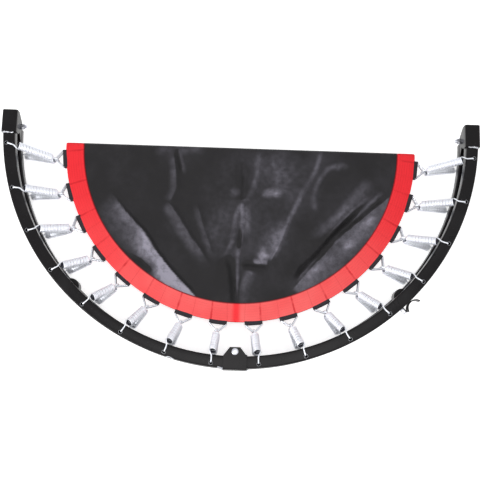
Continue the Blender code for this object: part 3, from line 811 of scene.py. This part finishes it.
class TRAMPOLINE_OT_hinges(bpy.types.Operator):
    """Add the end hinges and the centre hinges"""

    bl_idname = "trampoline.hinges"
    bl_label = "Hinges"

    def execute(self, context):
        for side, sign in SIDES:
            plate(side + "_end_bracket", "near_frame", side + "_hinge_bracket")
            plate(side + "_end_lug", "far_frame", side + "_hinge_lug")
            fold_bolt(side, sign)
            fold_nut(side, sign)
        for layer in LAYERS:
            plate(layer + "_centre_bracket", layer + "_frame", layer + "_centre_plate")
            plate(layer + "_centre_lug", layer + "_frame", layer + "_centre_ear")
            centre_rivet(layer)
        return {"FINISHED"}


def leg_cup(layer, side):
    """A leg socket as a pressed cup with a rolled mouth."""
    node = "%s_%s_leg_socket" % (layer, side)
    low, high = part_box(node)
    middle = (low + high) / 2
    outside = (high.x - low.x) / 2
    height = high.z - low.z
    wall, lip = 0.002, 0.0006
    bore = outside - wall
    profile = [(0, height), (outside - lip, height), (outside, height - lip), (outside, lip),
               (outside - lip, 0), (bore + lip, 0), (bore, lip), (bore, height - wall),
               (0, height - wall)]
    place = Matrix.Translation((middle.x, middle.y, low.z))
    if layer == "far":
        place = Matrix.Translation((middle.x, middle.y, high.z))
        place = place @ Matrix.Rotation(HALF_TURN, 4, "Y")
    made = stored("%s_%s_leg_cup" % (layer, side), swept_shape(profile, 64), place)
    placed(made, powder_coat(), layer + "_frame", node)


def side_stud():
    """The stud beside the saddle, with softened edges."""
    made = stored("side_stud", softened("leg_stud", 0.0004))
    placed(made, zinc_plate(), "near_frame", "leg_stud")


class TRAMPOLINE_OT_leg_fittings(bpy.types.Operator):
    """Add the leg sockets, the saddle and the stud"""

    bl_idname = "trampoline.leg_fittings"
    bl_label = "Leg Fittings"

    def execute(self, context):
        for layer in LAYERS:
            for side, _ in SIDES:
                leg_cup(layer, side)
        plate("leg_saddle", "near_frame", "side_saddle")
        side_stud()
        return {"FINISHED"}


def smooth_shift(place):
    """A shift that drifts from place to place, the same in every run."""
    return Vector([noise.noise(place + Vector((axis * 9.3, axis * 5.7, axis * 3.1)))
                   for axis in (1, 2, 3)])


def bead_shape(points, radius):
    """A rippled weld bead along the points, thin at its ends."""
    path = smooth_path([Vector(point) for point in points], 12)
    wander, ripple, lumps, ends = 0.0020, 0.26, 0.75, 0.45
    path = [point + wander * smooth_shift(point * 130) for point in path]
    swell = [0.95 + ripple * math.sin(index * 2.1) + lumps * noise.noise(point * 210)
             for index, point in enumerate(path)]
    swell[0] = swell[-1] = ends
    return wire_shape([path], radius, swell=swell)


def bead(name, layer, points, radius):
    """A weld bead, from points in a half ring's own frame."""
    made = stored(name, bead_shape(points, radius), layer_place(layer))
    placed(made, weld_metal(), layer + "_frame", smooth=80.0)


class TRAMPOLINE_OT_welds(bpy.types.Operator):
    """Add the weld beads of the brackets"""

    bl_idname = "trampoline.welds"
    bl_label = "Weld Beads"

    def execute(self, context):
        ring = settings().ring
        top = ring.under + ring.tube
        off, proud, crown, inset = 0.0008, 0.0006, 0.0009, 0.001
        outer, inner = ring.radius - inset, ring.radius - ring.tube + inset
        edge = (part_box("left_end_bracket")[0] - FOLD).y - off
        for side, sign in SIDES:
            line = [(sign * outer, edge, top + proud),
                    (sign * (outer + inner) / 2, edge, top + crown),
                    (sign * inner, edge, top + proud)]
            bead(side + "_bracket_weld", "near", line, 0.0023)
        side_x = (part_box("near_centre_bracket")[0] - FOLD).x - off
        out_y = -math.sqrt(ring.radius ** 2 - side_x ** 2) - proud
        heights = (ring.under + 0.002, (ring.under + top) / 2, top - 0.002)
        for layer in LAYERS:
            bead(layer + "_centre_weld", layer, [(side_x, out_y, height) for height in heights],
                 0.0021)
        spots = (("bracket_spatter", 266.0, 268.0, 0.0015), ("edge_spatter", 253.8, 255.8, 0.0010))
        for name, first, last, radius in spots:
            line = [around(outer, math.radians(first + (last - first) * step / 4), top - inset)
                    for step in range(5)]
            bead("near_" + name, "near", line, radius)
        return {"FINISHED"}


# Springs


def spring_path(hole, eye, hand):
    """Centre line of a spring, the two points between which it stretches, its axis and length.

    The outer end is left open: the hook leaves the rim on the side that hand gives. The inner
    end narrows to a neck and a round hook.
    """
    ring, spring = settings().ring, settings().spring
    above_tube, hole_play = 0.0004, 0.0002
    reach = spring.coil - spring.wire
    inward = Vector((eye.x - hole.x, eye.y - hole.y, 0)).normalized()
    flat = Vector((hole.x, hole.y, 0))
    along = flat.dot(inward)
    rim = ring.radius - ring.tube - spring.wire
    edge = flat + inward * (-along - math.sqrt(along ** 2 - flat.length_squared + rim ** 2))
    edge.z = hole.z + spring.wire + above_tube
    up = inward.cross(Vector((0, 0, 1))).cross((eye - edge).normalized()).normalized()
    pull = eye + up * spring.eye - edge
    axis, span = pull.normalized(), pull.length
    side = axis.cross(up) * hand
    first, last = spring.lead, span - spring.tail
    per_turn, narrowing, start = 12, 1.5, 0.2
    count = round((last - first) / spring.pitch) * per_turn + per_turn // 4
    coil = []
    for index in range(count + 1):
        grow = min(1.0, (count - index + 2) / (narrowing * per_turn))
        radius = reach * math.sin(grow * QUARTER)
        angle = WHOLE_TURN * (index / per_turn + start)
        centre = edge + axis * (first + (last - first) * index / count)
        coil.append(centre + (up * math.cos(angle) + side * math.sin(angle)) * radius)
    over = Vector((0, 0, edge.z))
    seat = flat + inward * (ring.hole - spring.wire - hole_play)
    hook = [seat + Vector((0, 0, hole.z - spring.tip)), seat + Vector((0, 0, hole.z - 0.001)),
            seat + over + inward * 0.0016 - Vector((0, 0, 0.0006)),
            seat + over + inward * 0.0060 + side * 0.0003,
            edge - inward * 0.003 + side * reach * 0.22,
            edge + axis * first * 0.35 + side * reach * 0.72 + up * 0.0008]
    turns = [math.radians(200) * step / 8 for step in range(9)]
    loop = [eye + (up * math.cos(turn) + axis * math.sin(turn)) * spring.eye for turn in turns]
    outer = smooth_path(hook + coil[:1], 5)[:-1]
    neck = smooth_path([coil[-1], *loop], 3)[1:]
    return outer + coil + neck, edge, eye, axis, span


def mark_painted_coil_shade(made, start, axis, first, last):
    """Mark the inner side of a coil, where it gets painted shade, in an attribute, from its
    straight axis.
    """
    spring = settings().spring
    inner, fade = spring.coil - spring.wire, 0.5 * spring.wire
    marks = made.data.attributes.new("inside", "FLOAT", "POINT")
    for vert in made.data.vertices:
        along = (vert.co - start).dot(axis)
        away = (vert.co - start - axis * along).length
        if first < along < last:
            marks.data[vert.index].value = min(1, max(0, (inner - away) / fade))


def half_springs(layer):
    """The springs of one half ring, each stretched between the ring and the mat."""
    ring, mat, spring = settings().ring, settings().mat, settings().spring
    place = layer_place(layer)
    angles = loop_angles()
    for index, angle in enumerate(angles):
        hole = around(ring.radius - ring.hole_inset, angle, ring.under + ring.tube)
        eye = around(mat.radius + mat.ring_reach, angle, mat.layer) - Vector((0, mat.slack, 0))
        hand = -1 if index in TURNED_HOOKS else 1
        path, start, end, axis, span = spring_path(hole, eye, hand)
        number = index + 1 if layer == "near" else len(angles) - index
        made = stored("%s_coil_%02d" % (layer, number), wire_shape([path], spring.wire))
        mark_painted_coil_shade(made, start, axis, spring.lead - 0.001, span - spring.tail - 0.008)
        made.data.transform(place)
        dressed(made, spring_finish(), smooth=60.0)
        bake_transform(made)
        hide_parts("%s_spring_%02d" % (layer, number))


class TRAMPOLINE_OT_springs(bpy.types.Operator):
    """Add the coil springs with their hooks"""

    bl_idname = "trampoline.springs"
    bl_label = "Springs"

    def execute(self, context):
        for layer in LAYERS:
            half_springs(layer)
        return {"FINISHED"}


# Mat, border, loops and rings


def mat_place(layer):
    """From a half mat's own frame to the shared frame."""
    mat = settings().mat
    return layer_place(layer) @ Matrix.Translation((0, -mat.slack, mat.layer))


def roll_start(thickness):
    """Where cloth of a thickness leaves its plane to roll over the crease."""
    mat = settings().mat
    radius = mat.layer - mat.crease_gap / 2
    return -(radius + thickness / 2 + mat.crease_gap / 2), radius


def chart_of(shape):
    """The map of a cloth in metres."""
    return shape.loops.layers.uv.new("cut")


def roll_over(shape, thickness):
    """Roll the strip next to the crease down to the fold's middle."""
    start, radius = roll_start(thickness)
    for vert in shape.verts:
        past = vert.co.y - start
        if past <= 0:
            continue
        angle = past / radius
        out = radius + vert.co.z
        vert.co.y = start + out * math.sin(angle)
        vert.co.z = out * math.cos(angle) - radius


def crease_cuts(shape, thickness):
    """Cut a cloth along lines beside the crease, and end it past the last."""
    start, radius = roll_start(thickness)
    steps, reach = 8, 0.000001
    for step in range(steps + 1):
        place = start + radius * QUARTER * step / steps
        geometry = shape.verts[:] + shape.edges[:] + shape.faces[:]
        bmesh.ops.bisect_plane(shape, geom=geometry, plane_co=(0, place, 0), plane_no=(0, 1, 0),
                               clear_outer=step == steps, dist=reach)


# Folds that storing has pressed into the mat. Each has its line in millimetres, the rise of its
# ridge and the width of that, the tone of painted highlight (above 0) or painted shade (below 0)
# on it, how far that reaches, the side of the line that it is on (1 left, -1 right, 0 both) and the
# shares of the line over which it fades in and out
FOLDS = (
    (((-281, -108), (-199, -199), (-161, -252), (-73, -349)), 5.0, 4, 0.30, 24, -1, 0.30, 0),
    (((-225, -168), (-161, -252), (-73, -349)), 0.0, 4, 0.66, 46, -1, 0.30, 0),
    (((-281, -108), (-199, -199), (-161, -252), (-73, -349)), 0.0, 4, 0.16, 74, -1, 0.15, 0),
    (((-155, -123), (-102, -193), (-55, -268)), 2.5, 5, 0.19, 28, -1, 0.15, 0.4),
    (((-147, -8), (-134, -87), (-149, -128)), 1.8, 5, 0.13, 18, -1, 0.2, 0.1),
    (((-139, -6), (-125, -68)), -1.5, 3, -0.35, 4, 0, 0.1, 0.4),
    (((-133, -6), (-117, -66)), 1.0, 3, 0.12, 6, 0, 0.1, 0.4),
    (((-90, -123), (-75, -171), (-48, -249)), 1.2, 5, 0.09, 16, -1, 0.2, 0.3),
    (((41, -4), (35, -66), (22, -103), (8, -118)), 2.0, 5, 0.12, 8, 0, 0.2, 0.05),
    (((6, -120), (-8, -154), (-13, -212), (-33, -252)), 1.5, 4, 0.14, 6, 0, 0.05, 0.3),
    (((7, -116), (5, -190), (1, -247), (1, -347)), 2.2, 3.5, 0.22, 5, 0, 0.05, 0),
    (((-21, -235), (-13, -277), (-4, -347)), -3.0, 6, -0.8, 9, 0, 0.2, 0),
    (((3, -174), (2, -234)), -1.5, 3, -0.45, 4.5, 0, 0.35, 0.35),
    (((5, -29), (7, -114)), -1.5, 4, -0.35, 6, 0, 0.3, 0.05),
    (((15, -122), (18, -203)), 1.0, 6, 0.12, 9, 0, 0.2, 0.4),
    (((80, -150), (66, -198), (50, -244)), 2.0, 9, 0.10, 22, 0, 0.4, 0.2),
    (((112, -145), (94, -198), (70, -248)), 0.0, 4, 0.32, 34, -1, 0.5, 0.1),
    (((8, -257), (66, -259)), -2.0, 4, -0.5, 4.5, 0, 0.2, 0.2),
    (((31, -249), (64, -250)), 1.5, 4, 0.3, 7, 0, 0.2, 0.2),
    (((31, -269), (19, -305), (15, -346)), 1.5, 7, 0.18, 13, 0, 0.1, 0),
    (((175, 5), (159, -49), (134, -95), (112, -145), (94, -198), (74, -241)), 2.2, 4, 0.19, 7,
     0, 0.1, 0.1),
    (((235, -30), (196, -38), (170, -70), (157, -110), (166, -138)), 1.5, 5, 0.12, 7, 0, 0.1, 0.1),
    (((288, -61), (245, -113), (202, -163), (144, -204)), 2.2, 9, 0.18, 17, 0, 0.2, 0.4),
    (((275, -115), (214, -178), (163, -234), (115, -291)), -4.0, 5, -0.85, 7, 0, 0.3, 0.1),
    (((283, -98), (224, -157), (131, -266)), 2.0, 3.5, 0.15, 5, 0, 0.1, 0.2),
    (((315, -86), (239, -162), (168, -242), (121, -297)), 2.5, 4, 0.18, 5, 0, 0.1, 0.1),
    (((319, -101), (224, -184), (159, -255)), -1.5, 3, -0.4, 4, 0, 0.1, 0.2),
    (((336, -92), (227, -187), (115, -312)), 3.0, 5, 0.27, 75, 1, 0.1, 0.05),
    (((-189, -14), (-67, -5)), 0.8, 5, 0.1, 12, 0, 0.2, 0.2),
)

# Patches of painted highlight, or of painted shade where the tone is below 0: middle and half sizes
# in millimetres, turn in degrees, tone
PATCHES = (
    ((20, -150), (120, 190), 0, 0.035),
    ((92, -84), (40, 66), 30, 0.08),
    ((-10, -250), (60, 60), 0, 0.03),
    ((-213, -264), (46, 13), -36, -0.5),
    ((-151, -300), (36, 20), -38, 0.6),
    ((84, -40), (62, 46), 0, 0.10),
    ((68, -98), (24, 12), 10, 0.45),
    ((51, -231), (13, 19), 0, 0.62),
    ((280, -157), (22, 10), 40, 0.42),
    ((239, -214), (17, 11), 30, 0.42),
    ((210, -207), (11, 8), 30, 0.25),
    ((160, -275), (38, 11), 32, 0.28),
    ((-43, -170), (34, 60), -15, 0.07),
    ((-10, -94), (17, 15), 0, 0.12),
    ((204, -42), (26, 9), 10, 0.11),
)


def eased(share):
    """A smooth step from 0 to 1."""
    share = np.clip(share, 0, 1)
    return share * share * (3 - 2 * share)


def beside_line(flat, line):
    """Signed distance of flat points from a line, positive on its left, and share along it."""
    ends = np.array([point[:2] for point in line])
    runs = ends[1:] - ends[:-1]
    lengths = np.hypot(runs[:, 0], runs[:, 1])
    nearest = np.full(len(flat), 1e9)
    signed = np.zeros(len(flat))
    share = np.zeros(len(flat))
    before = 0.0
    for first, run, length in zip(ends, runs, lengths):
        off = flat - first
        along = np.clip(off @ run / length ** 2, 0, 1)
        away = off - along[:, None] * run
        reach = np.hypot(away[:, 0], away[:, 1])
        closer = reach < nearest
        nearest[closer] = reach[closer]
        left = np.where(run[0] * off[:, 1] - run[1] * off[:, 0] > 0, 1.0, -1.0)
        signed[closer] = (reach * left)[closer]
        share[closer] = ((before + along * length) / lengths.sum())[closer]
        before += length
    return signed, share


def noise_field(flat, scale, level):
    """Smooth noise at flat points, on one level of its space."""
    return np.array([noise.noise(Vector((x * scale, y * scale, level))) for x, y in flat])


def along_fold(share, lead, trail):
    """How strong a fold is, as it fades in and out along its line."""
    strength = eased(share / lead) if lead else 1.0
    return strength * (eased((1 - share) / trail) if trail else 1.0)


def two_sided(away, reach, drift):
    """Painted highlight or shade on both sides of a fold's line, with a weak halo."""
    spill, patchy, halo, halo_reach = 1.25, 1.1, 0.20, 2.4
    lit = (1 - eased(away / reach / spill)) * (1 + patchy * drift)
    return lit + halo * np.exp(-(away / reach / halo_reach) ** 2)


def one_sided(away, inside, reach, drift):
    """Painted highlight on one side of a fold's line: sharp at the line, even at first, and then
    fading.
    """
    even, patchy, start, rise = 0.2, 0.5, 1.0, 2.5
    lit = (1 - eased((away / reach - even) / (1 - even))) * (1 + patchy * drift)
    return lit * eased((inside + start) / rise)


def patch_tone(points, middle, halves, turn, grain, drift):
    """Share of its tone that a patch of painted highlight or shade gives at flat points."""
    off = points - np.array(middle) / MM
    along = off[:, 0] * math.cos(turn) + off[:, 1] * math.sin(turn)
    across = off[:, 1] * math.cos(turn) - off[:, 0] * math.sin(turn)
    reach = np.hypot(along / halves[0], across / halves[1]) * MM
    spill, grainy, patchy = 1.2, 0.25, 0.3
    return (1 - eased(reach / spill)) * (1 + grainy * grain + patchy * drift)


def folds_and_tones(flat):
    """Height of the mat's folds, in metres, and the tone of painted highlight and shade on them, at
    flat points.
    """
    mat = settings().mat
    rim = mat.radius - mat.band
    from_middle = np.hypot(flat[:, 0], flat[:, 1])
    widening = 0.0315  # the folds are placed on a cloth that is this much wider at its rim
    spread = flat * (1 + widening * (from_middle / rim) ** 2)[:, None]
    height = 0.0014 * noise_field(flat, 13, 2.0) + 0.0006 * noise_field(flat, 42, 7.0)
    tone = np.zeros(len(flat))
    grain = noise_field(flat, 95, 1.0)
    drift = noise_field(flat, 26, 6.0)
    shifts = [0.010 * smooth_shift(Vector((x * 14, y * 14, 4.0)))
              + 0.0035 * smooth_shift(Vector((x * 70, y * 70, 9.0))) for x, y in flat]
    wandered = spread + np.array([shift[:2] for shift in shifts])
    for points, rise, width, shade, reach, side, lead, trail in FOLDS:
        line = smooth_path([Vector((x, y, 0)) / MM for x, y in points], 4)
        signed, share = beside_line(spread * 0.6 + wandered * 0.4, line)
        strength = along_fold(share, lead, trail)
        away = np.abs(signed) * MM
        ridge = np.exp(-(away / width) ** 2)
        if side:
            inside = signed * side * MM
            ridge = np.where(inside > 0, 1 - eased(away / reach), ridge)
            lit = one_sided(away, inside, reach, drift)
        else:
            lit = two_sided(away, reach, drift)
        height += 0.001 * rise * strength * ridge
        tone += shade * strength * lit
    for middle, halves, turn, shade in PATCHES:
        turned = math.radians(turn)
        tone += shade * 1.15 * patch_tone(wandered, middle, halves, turned, grain, drift)
    rim_calm, crease_calm, crease_fade, grainy = 0.014, 0.008, 0.016, 0.30
    held = eased((rim - from_middle) / rim_calm)
    held = held * eased((-flat[:, 1] - crease_calm) / crease_fade)
    return height * held, tone * (1 + grainy * grain)


def round_off(point, radius):
    """Move a point of a square grid to its place on a disc, with even cells."""
    across, along = point.x, point.y
    if abs(across) > abs(along):
        reach, turn = across, QUARTER / 2 * along / across
    elif along:
        reach, turn = along, QUARTER - QUARTER / 2 * across / along
    else:
        return Vector((0, 0, 0))
    return Vector((math.cos(turn), math.sin(turn), 0)) * reach * radius


def cloth_radius():
    """Where the mat's cloth ends, in the border's seam."""
    mat = settings().mat
    return mat.radius - mat.band + SEAM_CATCH


def mat_shape():
    """One half of the mat: a fine half disc with pressed folds, rolled over at the crease."""
    mat = settings().mat
    outer = cloth_radius()
    cells, past_middle = 280, 7
    shape = bmesh.new()
    tones = shape.verts.layers.float.new("painted_light_tone")
    bmesh.ops.create_grid(shape, x_segments=cells, y_segments=cells, size=1)
    spare = [vert for vert in shape.verts if vert.co.y > past_middle / cells]
    bmesh.ops.delete(shape, geom=spare, context="VERTS")
    for vert in shape.verts:
        vert.co = round_off(vert.co, outer)
    crease_cuts(shape, mat.cloth)
    chart = chart_of(shape)
    for face in shape.faces:
        for corner in face.loops:
            corner[chart].uv = corner.vert.co[:2]
    flat = np.array([vert.co[:2] for vert in shape.verts])
    # each point gets its fold's height and its tone of painted highlight and shade
    for vert, height, tone in zip(shape.verts, *folds_and_tones(flat)):
        vert.co.z += height
        vert[tones] = tone
    roll_over(shape, mat.cloth)
    return shape


def half_mat(layer, shape):
    """The woven mat of one half."""
    made = stored(layer + "_mat_cloth", shape.copy(), mat_place(layer))
    baked(thickened(made, settings().mat.cloth))
    return placed(made, mat_finish(), layer + "_mat_half", layer + "_mat",
                  smooth=50.0)


def border_section():
    """Closed outline of the folded webbing: (radius, height) points with a round outer edge."""
    mat = settings().mat
    half = mat.band_thickness / 2
    inner = mat.radius - mat.band
    steps, flatness, crown = 12, 0.80, 0.20
    top = []
    for step in range(steps + 1):
        share = step / steps
        height = half * (flatness + crown * math.sin(HALF_TURN * share))
        top.append((inner + (mat.band - half) * share, height))
    outer = [(mat.radius - half + half * math.sin(turn), flatness * half * math.cos(turn))
             for turn in (QUARTER * step / 4 for step in range(1, 8))]
    return top + outer + mirrored(top)


def polar(place):
    """Angle of a point from +X, up to a whole turn, and its distance from the middle."""
    return math.atan2(place.y, place.x) % WHOLE_TURN, math.hypot(place.x, place.y)


def border_shape():
    """The red border of one half, with a slight pucker at each seam."""
    mat = settings().mat
    inner = mat.radius - mat.band
    extra = math.radians(1.2)
    shape = swept_shape(border_section(), 640, HALF_TURN - extra, HALF_TURN + 2 * extra)
    crease_cuts(shape, mat.band_thickness)
    bmesh.ops.holes_fill(shape, edges=[edge for edge in shape.edges if edge.is_boundary])
    bmesh.ops.recalc_face_normals(shape, faces=shape.faces)
    chart = chart_of(shape)
    for face in shape.faces:
        for corner in face.loops:
            turn, radius = polar(corner.vert.co)
            corner[chart].uv = (turn * mat.radius, radius - inner)
    pitch = QUARTER / settings().spring.per_quarter
    seams = ((0.735, 0.025, 0.12), (0.27, 0.02, 0.04))
    waves, calm = 0.0006, 0.03  # their height, and how far from the crease they reach it
    for vert in shape.verts:
        turn, radius = polar(vert.co)
        share = (abs(turn - HALF_TURN - QUARTER) / pitch) % 1
        pucker = 1
        for place, width, depth in seams:
            pucker -= depth * math.exp(-((share - place) / width) ** 2)
        across = (radius - inner) / mat.band
        wave = waves * noise.noise(Vector((turn * 9, across * 1.5, 3.0)))
        vert.co.z = vert.co.z * pucker + wave * min(1, max(0, -vert.co.y / calm))
    roll_over(shape, mat.band_thickness)
    return shape


def loop_shape():
    """The webbing loops of one half, each folded round the base of its ring."""
    mat = settings().mat
    shape = bmesh.new()
    chart = chart_of(shape)
    bend = mat.ring_wire + 0.0004 + mat.loop_thickness / 2
    in_border = [(-0.009, 0.0003), (-0.0025, 0.0005)]
    turns = [math.radians(70 - 140 * step / 8) for step in range(9)]
    profile = in_border + [(mat.ring_seat + bend * math.cos(turn), bend * math.sin(turn))
                           for turn in turns] + mirrored(in_border)
    cuts = 6
    for angle in loop_angles():
        verts = [shape.verts.new((mat.radius + reach, -mat.loop / 2, height))
                 for reach, height in profile]
        edges = [shape.edges.new(pair) for pair in zip(verts, verts[1:])]
        made = verts[:]
        for _ in range(cuts):
            out = bmesh.ops.extrude_edge_only(shape, edges=edges)["geom"]
            new = [item for item in out if isinstance(item, bmesh.types.BMVert)]
            edges = [item for item in out if isinstance(item, bmesh.types.BMEdge)]
            bmesh.ops.translate(shape, verts=new, vec=(0, mat.loop / cuts, 0))
            made += new
        for face in {face for vert in made for face in vert.link_faces}:
            for corner in face.loops:
                place = corner.vert.co
                corner[chart].uv = (place.y, place.x + place.z)
        bmesh.ops.rotate(shape, verts=made, cent=(0, 0, 0), matrix=Matrix.Rotation(angle, 3, "Z"))
    bmesh.ops.recalc_face_normals(shape, faces=shape.faces)
    return shape


def ring_shape():
    """The triangular rings of one half."""
    mat = settings().mat
    base, nose, bend = mat.ring_base / 2, mat.ring_nose / 2, 0.0023
    corners = [(mat.ring_seat, -base), (mat.ring_seat, base), (mat.ring_reach, nose),
               (mat.ring_reach, -nose)]
    paths = []
    for angle in loop_angles():
        out = around(1, angle)
        side = Vector((-out.y, out.x, 0))
        places = [out * (mat.radius + reach) + side * across for reach, across in corners]
        paths.append(filleted(places, bend, 5))
    return wire_shape(paths, mat.ring_wire, cyclic=True, resolution=2)


def half_border(layer):
    """The border of one half with its loops and rings. Returns the three pieces."""
    place = mat_place(layer)
    body = layer + "_mat_half"
    border = stored(layer + "_red_border", border_shape(), place)
    placed(border, border_finish(), body, layer + "_mat_border", smooth=50.0)
    loops = stored(layer + "_loops", loop_shape(), place)
    baked(thickened(loops, settings().mat.loop_thickness))
    placed(loops, loop_finish(), body, smooth=50.0)
    rings = stored(layer + "_rings", ring_shape(), place)
    placed(rings, zinc_plate(), body, smooth=60.0)
    return border, loops, rings


class TRAMPOLINE_OT_mats(bpy.types.Operator):
    """Add the two half mats with their borders, loops and rings"""

    bl_idname = "trampoline.mats"
    bl_label = "Mats and Borders"

    def execute(self, context):
        shape = mat_shape()
        for layer in LAYERS:
            cloth = half_mat(layer, shape)
            pieces = half_border(layer)
        shape.free()
        return {"FINISHED"}


# Stage


def seen_directly(tree):
    """1 for what the camera, a gloss or a clear surface sees, and 0 for light that only bounces."""
    path = add(tree, "ShaderNodeLightPath").outputs
    seen = calculate(tree, "MAXIMUM", path["Is Camera Ray"], path["Is Glossy Ray"])
    return calculate(tree, "MAXIMUM", seen, path["Is Transmission Ray"])


def floor_finish():
    """Plain pale floor that shows white to the camera where nothing shades it."""
    made, tree, shader = new_material("pale floor")
    feed(tree, shader, {"Base Color": (0.93, 0.93, 0.93, 1), "Roughness": 0.8,
                        "Specular IOR Level": 0.1, "Emission Color": (1, 1, 1, 1),
                        "Emission Strength": product(tree, seen_directly(tree), 0.62)})
    return made


def soft_light(name, place, size, power):
    """A large lamp that faces the middle of the frame."""
    data = bpy.data.lights.new(name, "AREA")
    data.shape = "RECTANGLE"
    data.size, data.size_y = size
    data.energy = power
    made = linked(name, data)
    made.location = place
    made.rotation_euler = (-Vector(place)).to_track_quat("-Z", "Y").to_euler()


class TRAMPOLINE_OT_stage(bpy.types.Operator):
    """Add the floor, the lights and the camera"""

    bl_idname = "trampoline.stage"
    bl_label = "Stage"

    def execute(self, context):
        stage = settings().stage
        scene = context.scene
        shape = bmesh.new()
        bmesh.ops.create_grid(shape, x_segments=1, y_segments=1, size=stage.floor / 2)
        floor = stored("floor", shape)
        floor.data.materials.append(floor_finish())
        world = bpy.data.worlds.new("studio")
        world.use_nodes = True
        tree = world.node_tree
        lift = calculate(tree, "MULTIPLY_ADD", seen_directly(tree), 0.3, 0.7)
        feed(tree, tree.nodes["Background"], {"Color": (1, 1, 1, 1), "Strength": lift})
        scene.world = world
        soft_light("key", (-1.5, -1.4, 1.3), size=(1.5, 0.35), power=30)
        soft_light("fill", (0.1, -0.3, 2.4), size=(1.3, 1.1), power=9.5)
        data = bpy.data.cameras.new("camera")
        data.lens = stage.lens
        data.sensor_width = 36
        scene.camera = linked("camera", data)
        scene.camera.location = stage.place
        scene.camera.rotation_euler = stage.turn
        scene.view_settings.view_transform = "Standard"
        return {"FINISHED"}


STEPS = (
    TRAMPOLINE_OT_stage,
    TRAMPOLINE_OT_ring,
    TRAMPOLINE_OT_hinges,
    TRAMPOLINE_OT_leg_fittings,
    TRAMPOLINE_OT_welds,
    TRAMPOLINE_OT_springs,
    TRAMPOLINE_OT_mats,
)


class TRAMPOLINE_PT_panel(bpy.types.Panel):
    """Sidebar panel with a button for each group of pieces"""

    bl_idname = "TRAMPOLINE_PT_panel"
    bl_label = "Folding Mini Trampoline"
    bl_space_type = "VIEW_3D"
    bl_region_type = "UI"
    bl_category = "Trampoline"

    def draw(self, context):
        column = self.layout.column()
        for step in STEPS:
            column.operator(step.bl_idname)
        for group in ("ring", "spring", "mat", "finish", "stage"):
            box = column.box()
            values = getattr(settings(), group)
            for key in values.__annotations__:
                box.prop(values, key)


CLASSES = (RingSettings, SpringSettings, MatSettings, FinishSettings, StageSettings,
           TrampolineSettings, *STEPS, TRAMPOLINE_PT_panel)


def register():
    for item in CLASSES:
        bpy.utils.register_class(item)
    bpy.types.Scene.trampoline = PointerProperty(type=TrampolineSettings)


def unregister():
    del bpy.types.Scene.trampoline
    for item in reversed(CLASSES):
        bpy.utils.unregister_class(item)


def main():
    register()
    bpy.ops.trampoline.stage()
    bpy.ops.trampoline.ring()
    bpy.ops.trampoline.hinges()
    bpy.ops.trampoline.leg_fittings()
    bpy.ops.trampoline.welds()
    bpy.ops.trampoline.springs()
    bpy.ops.trampoline.mats()


if __name__ == "__main__":
    main()
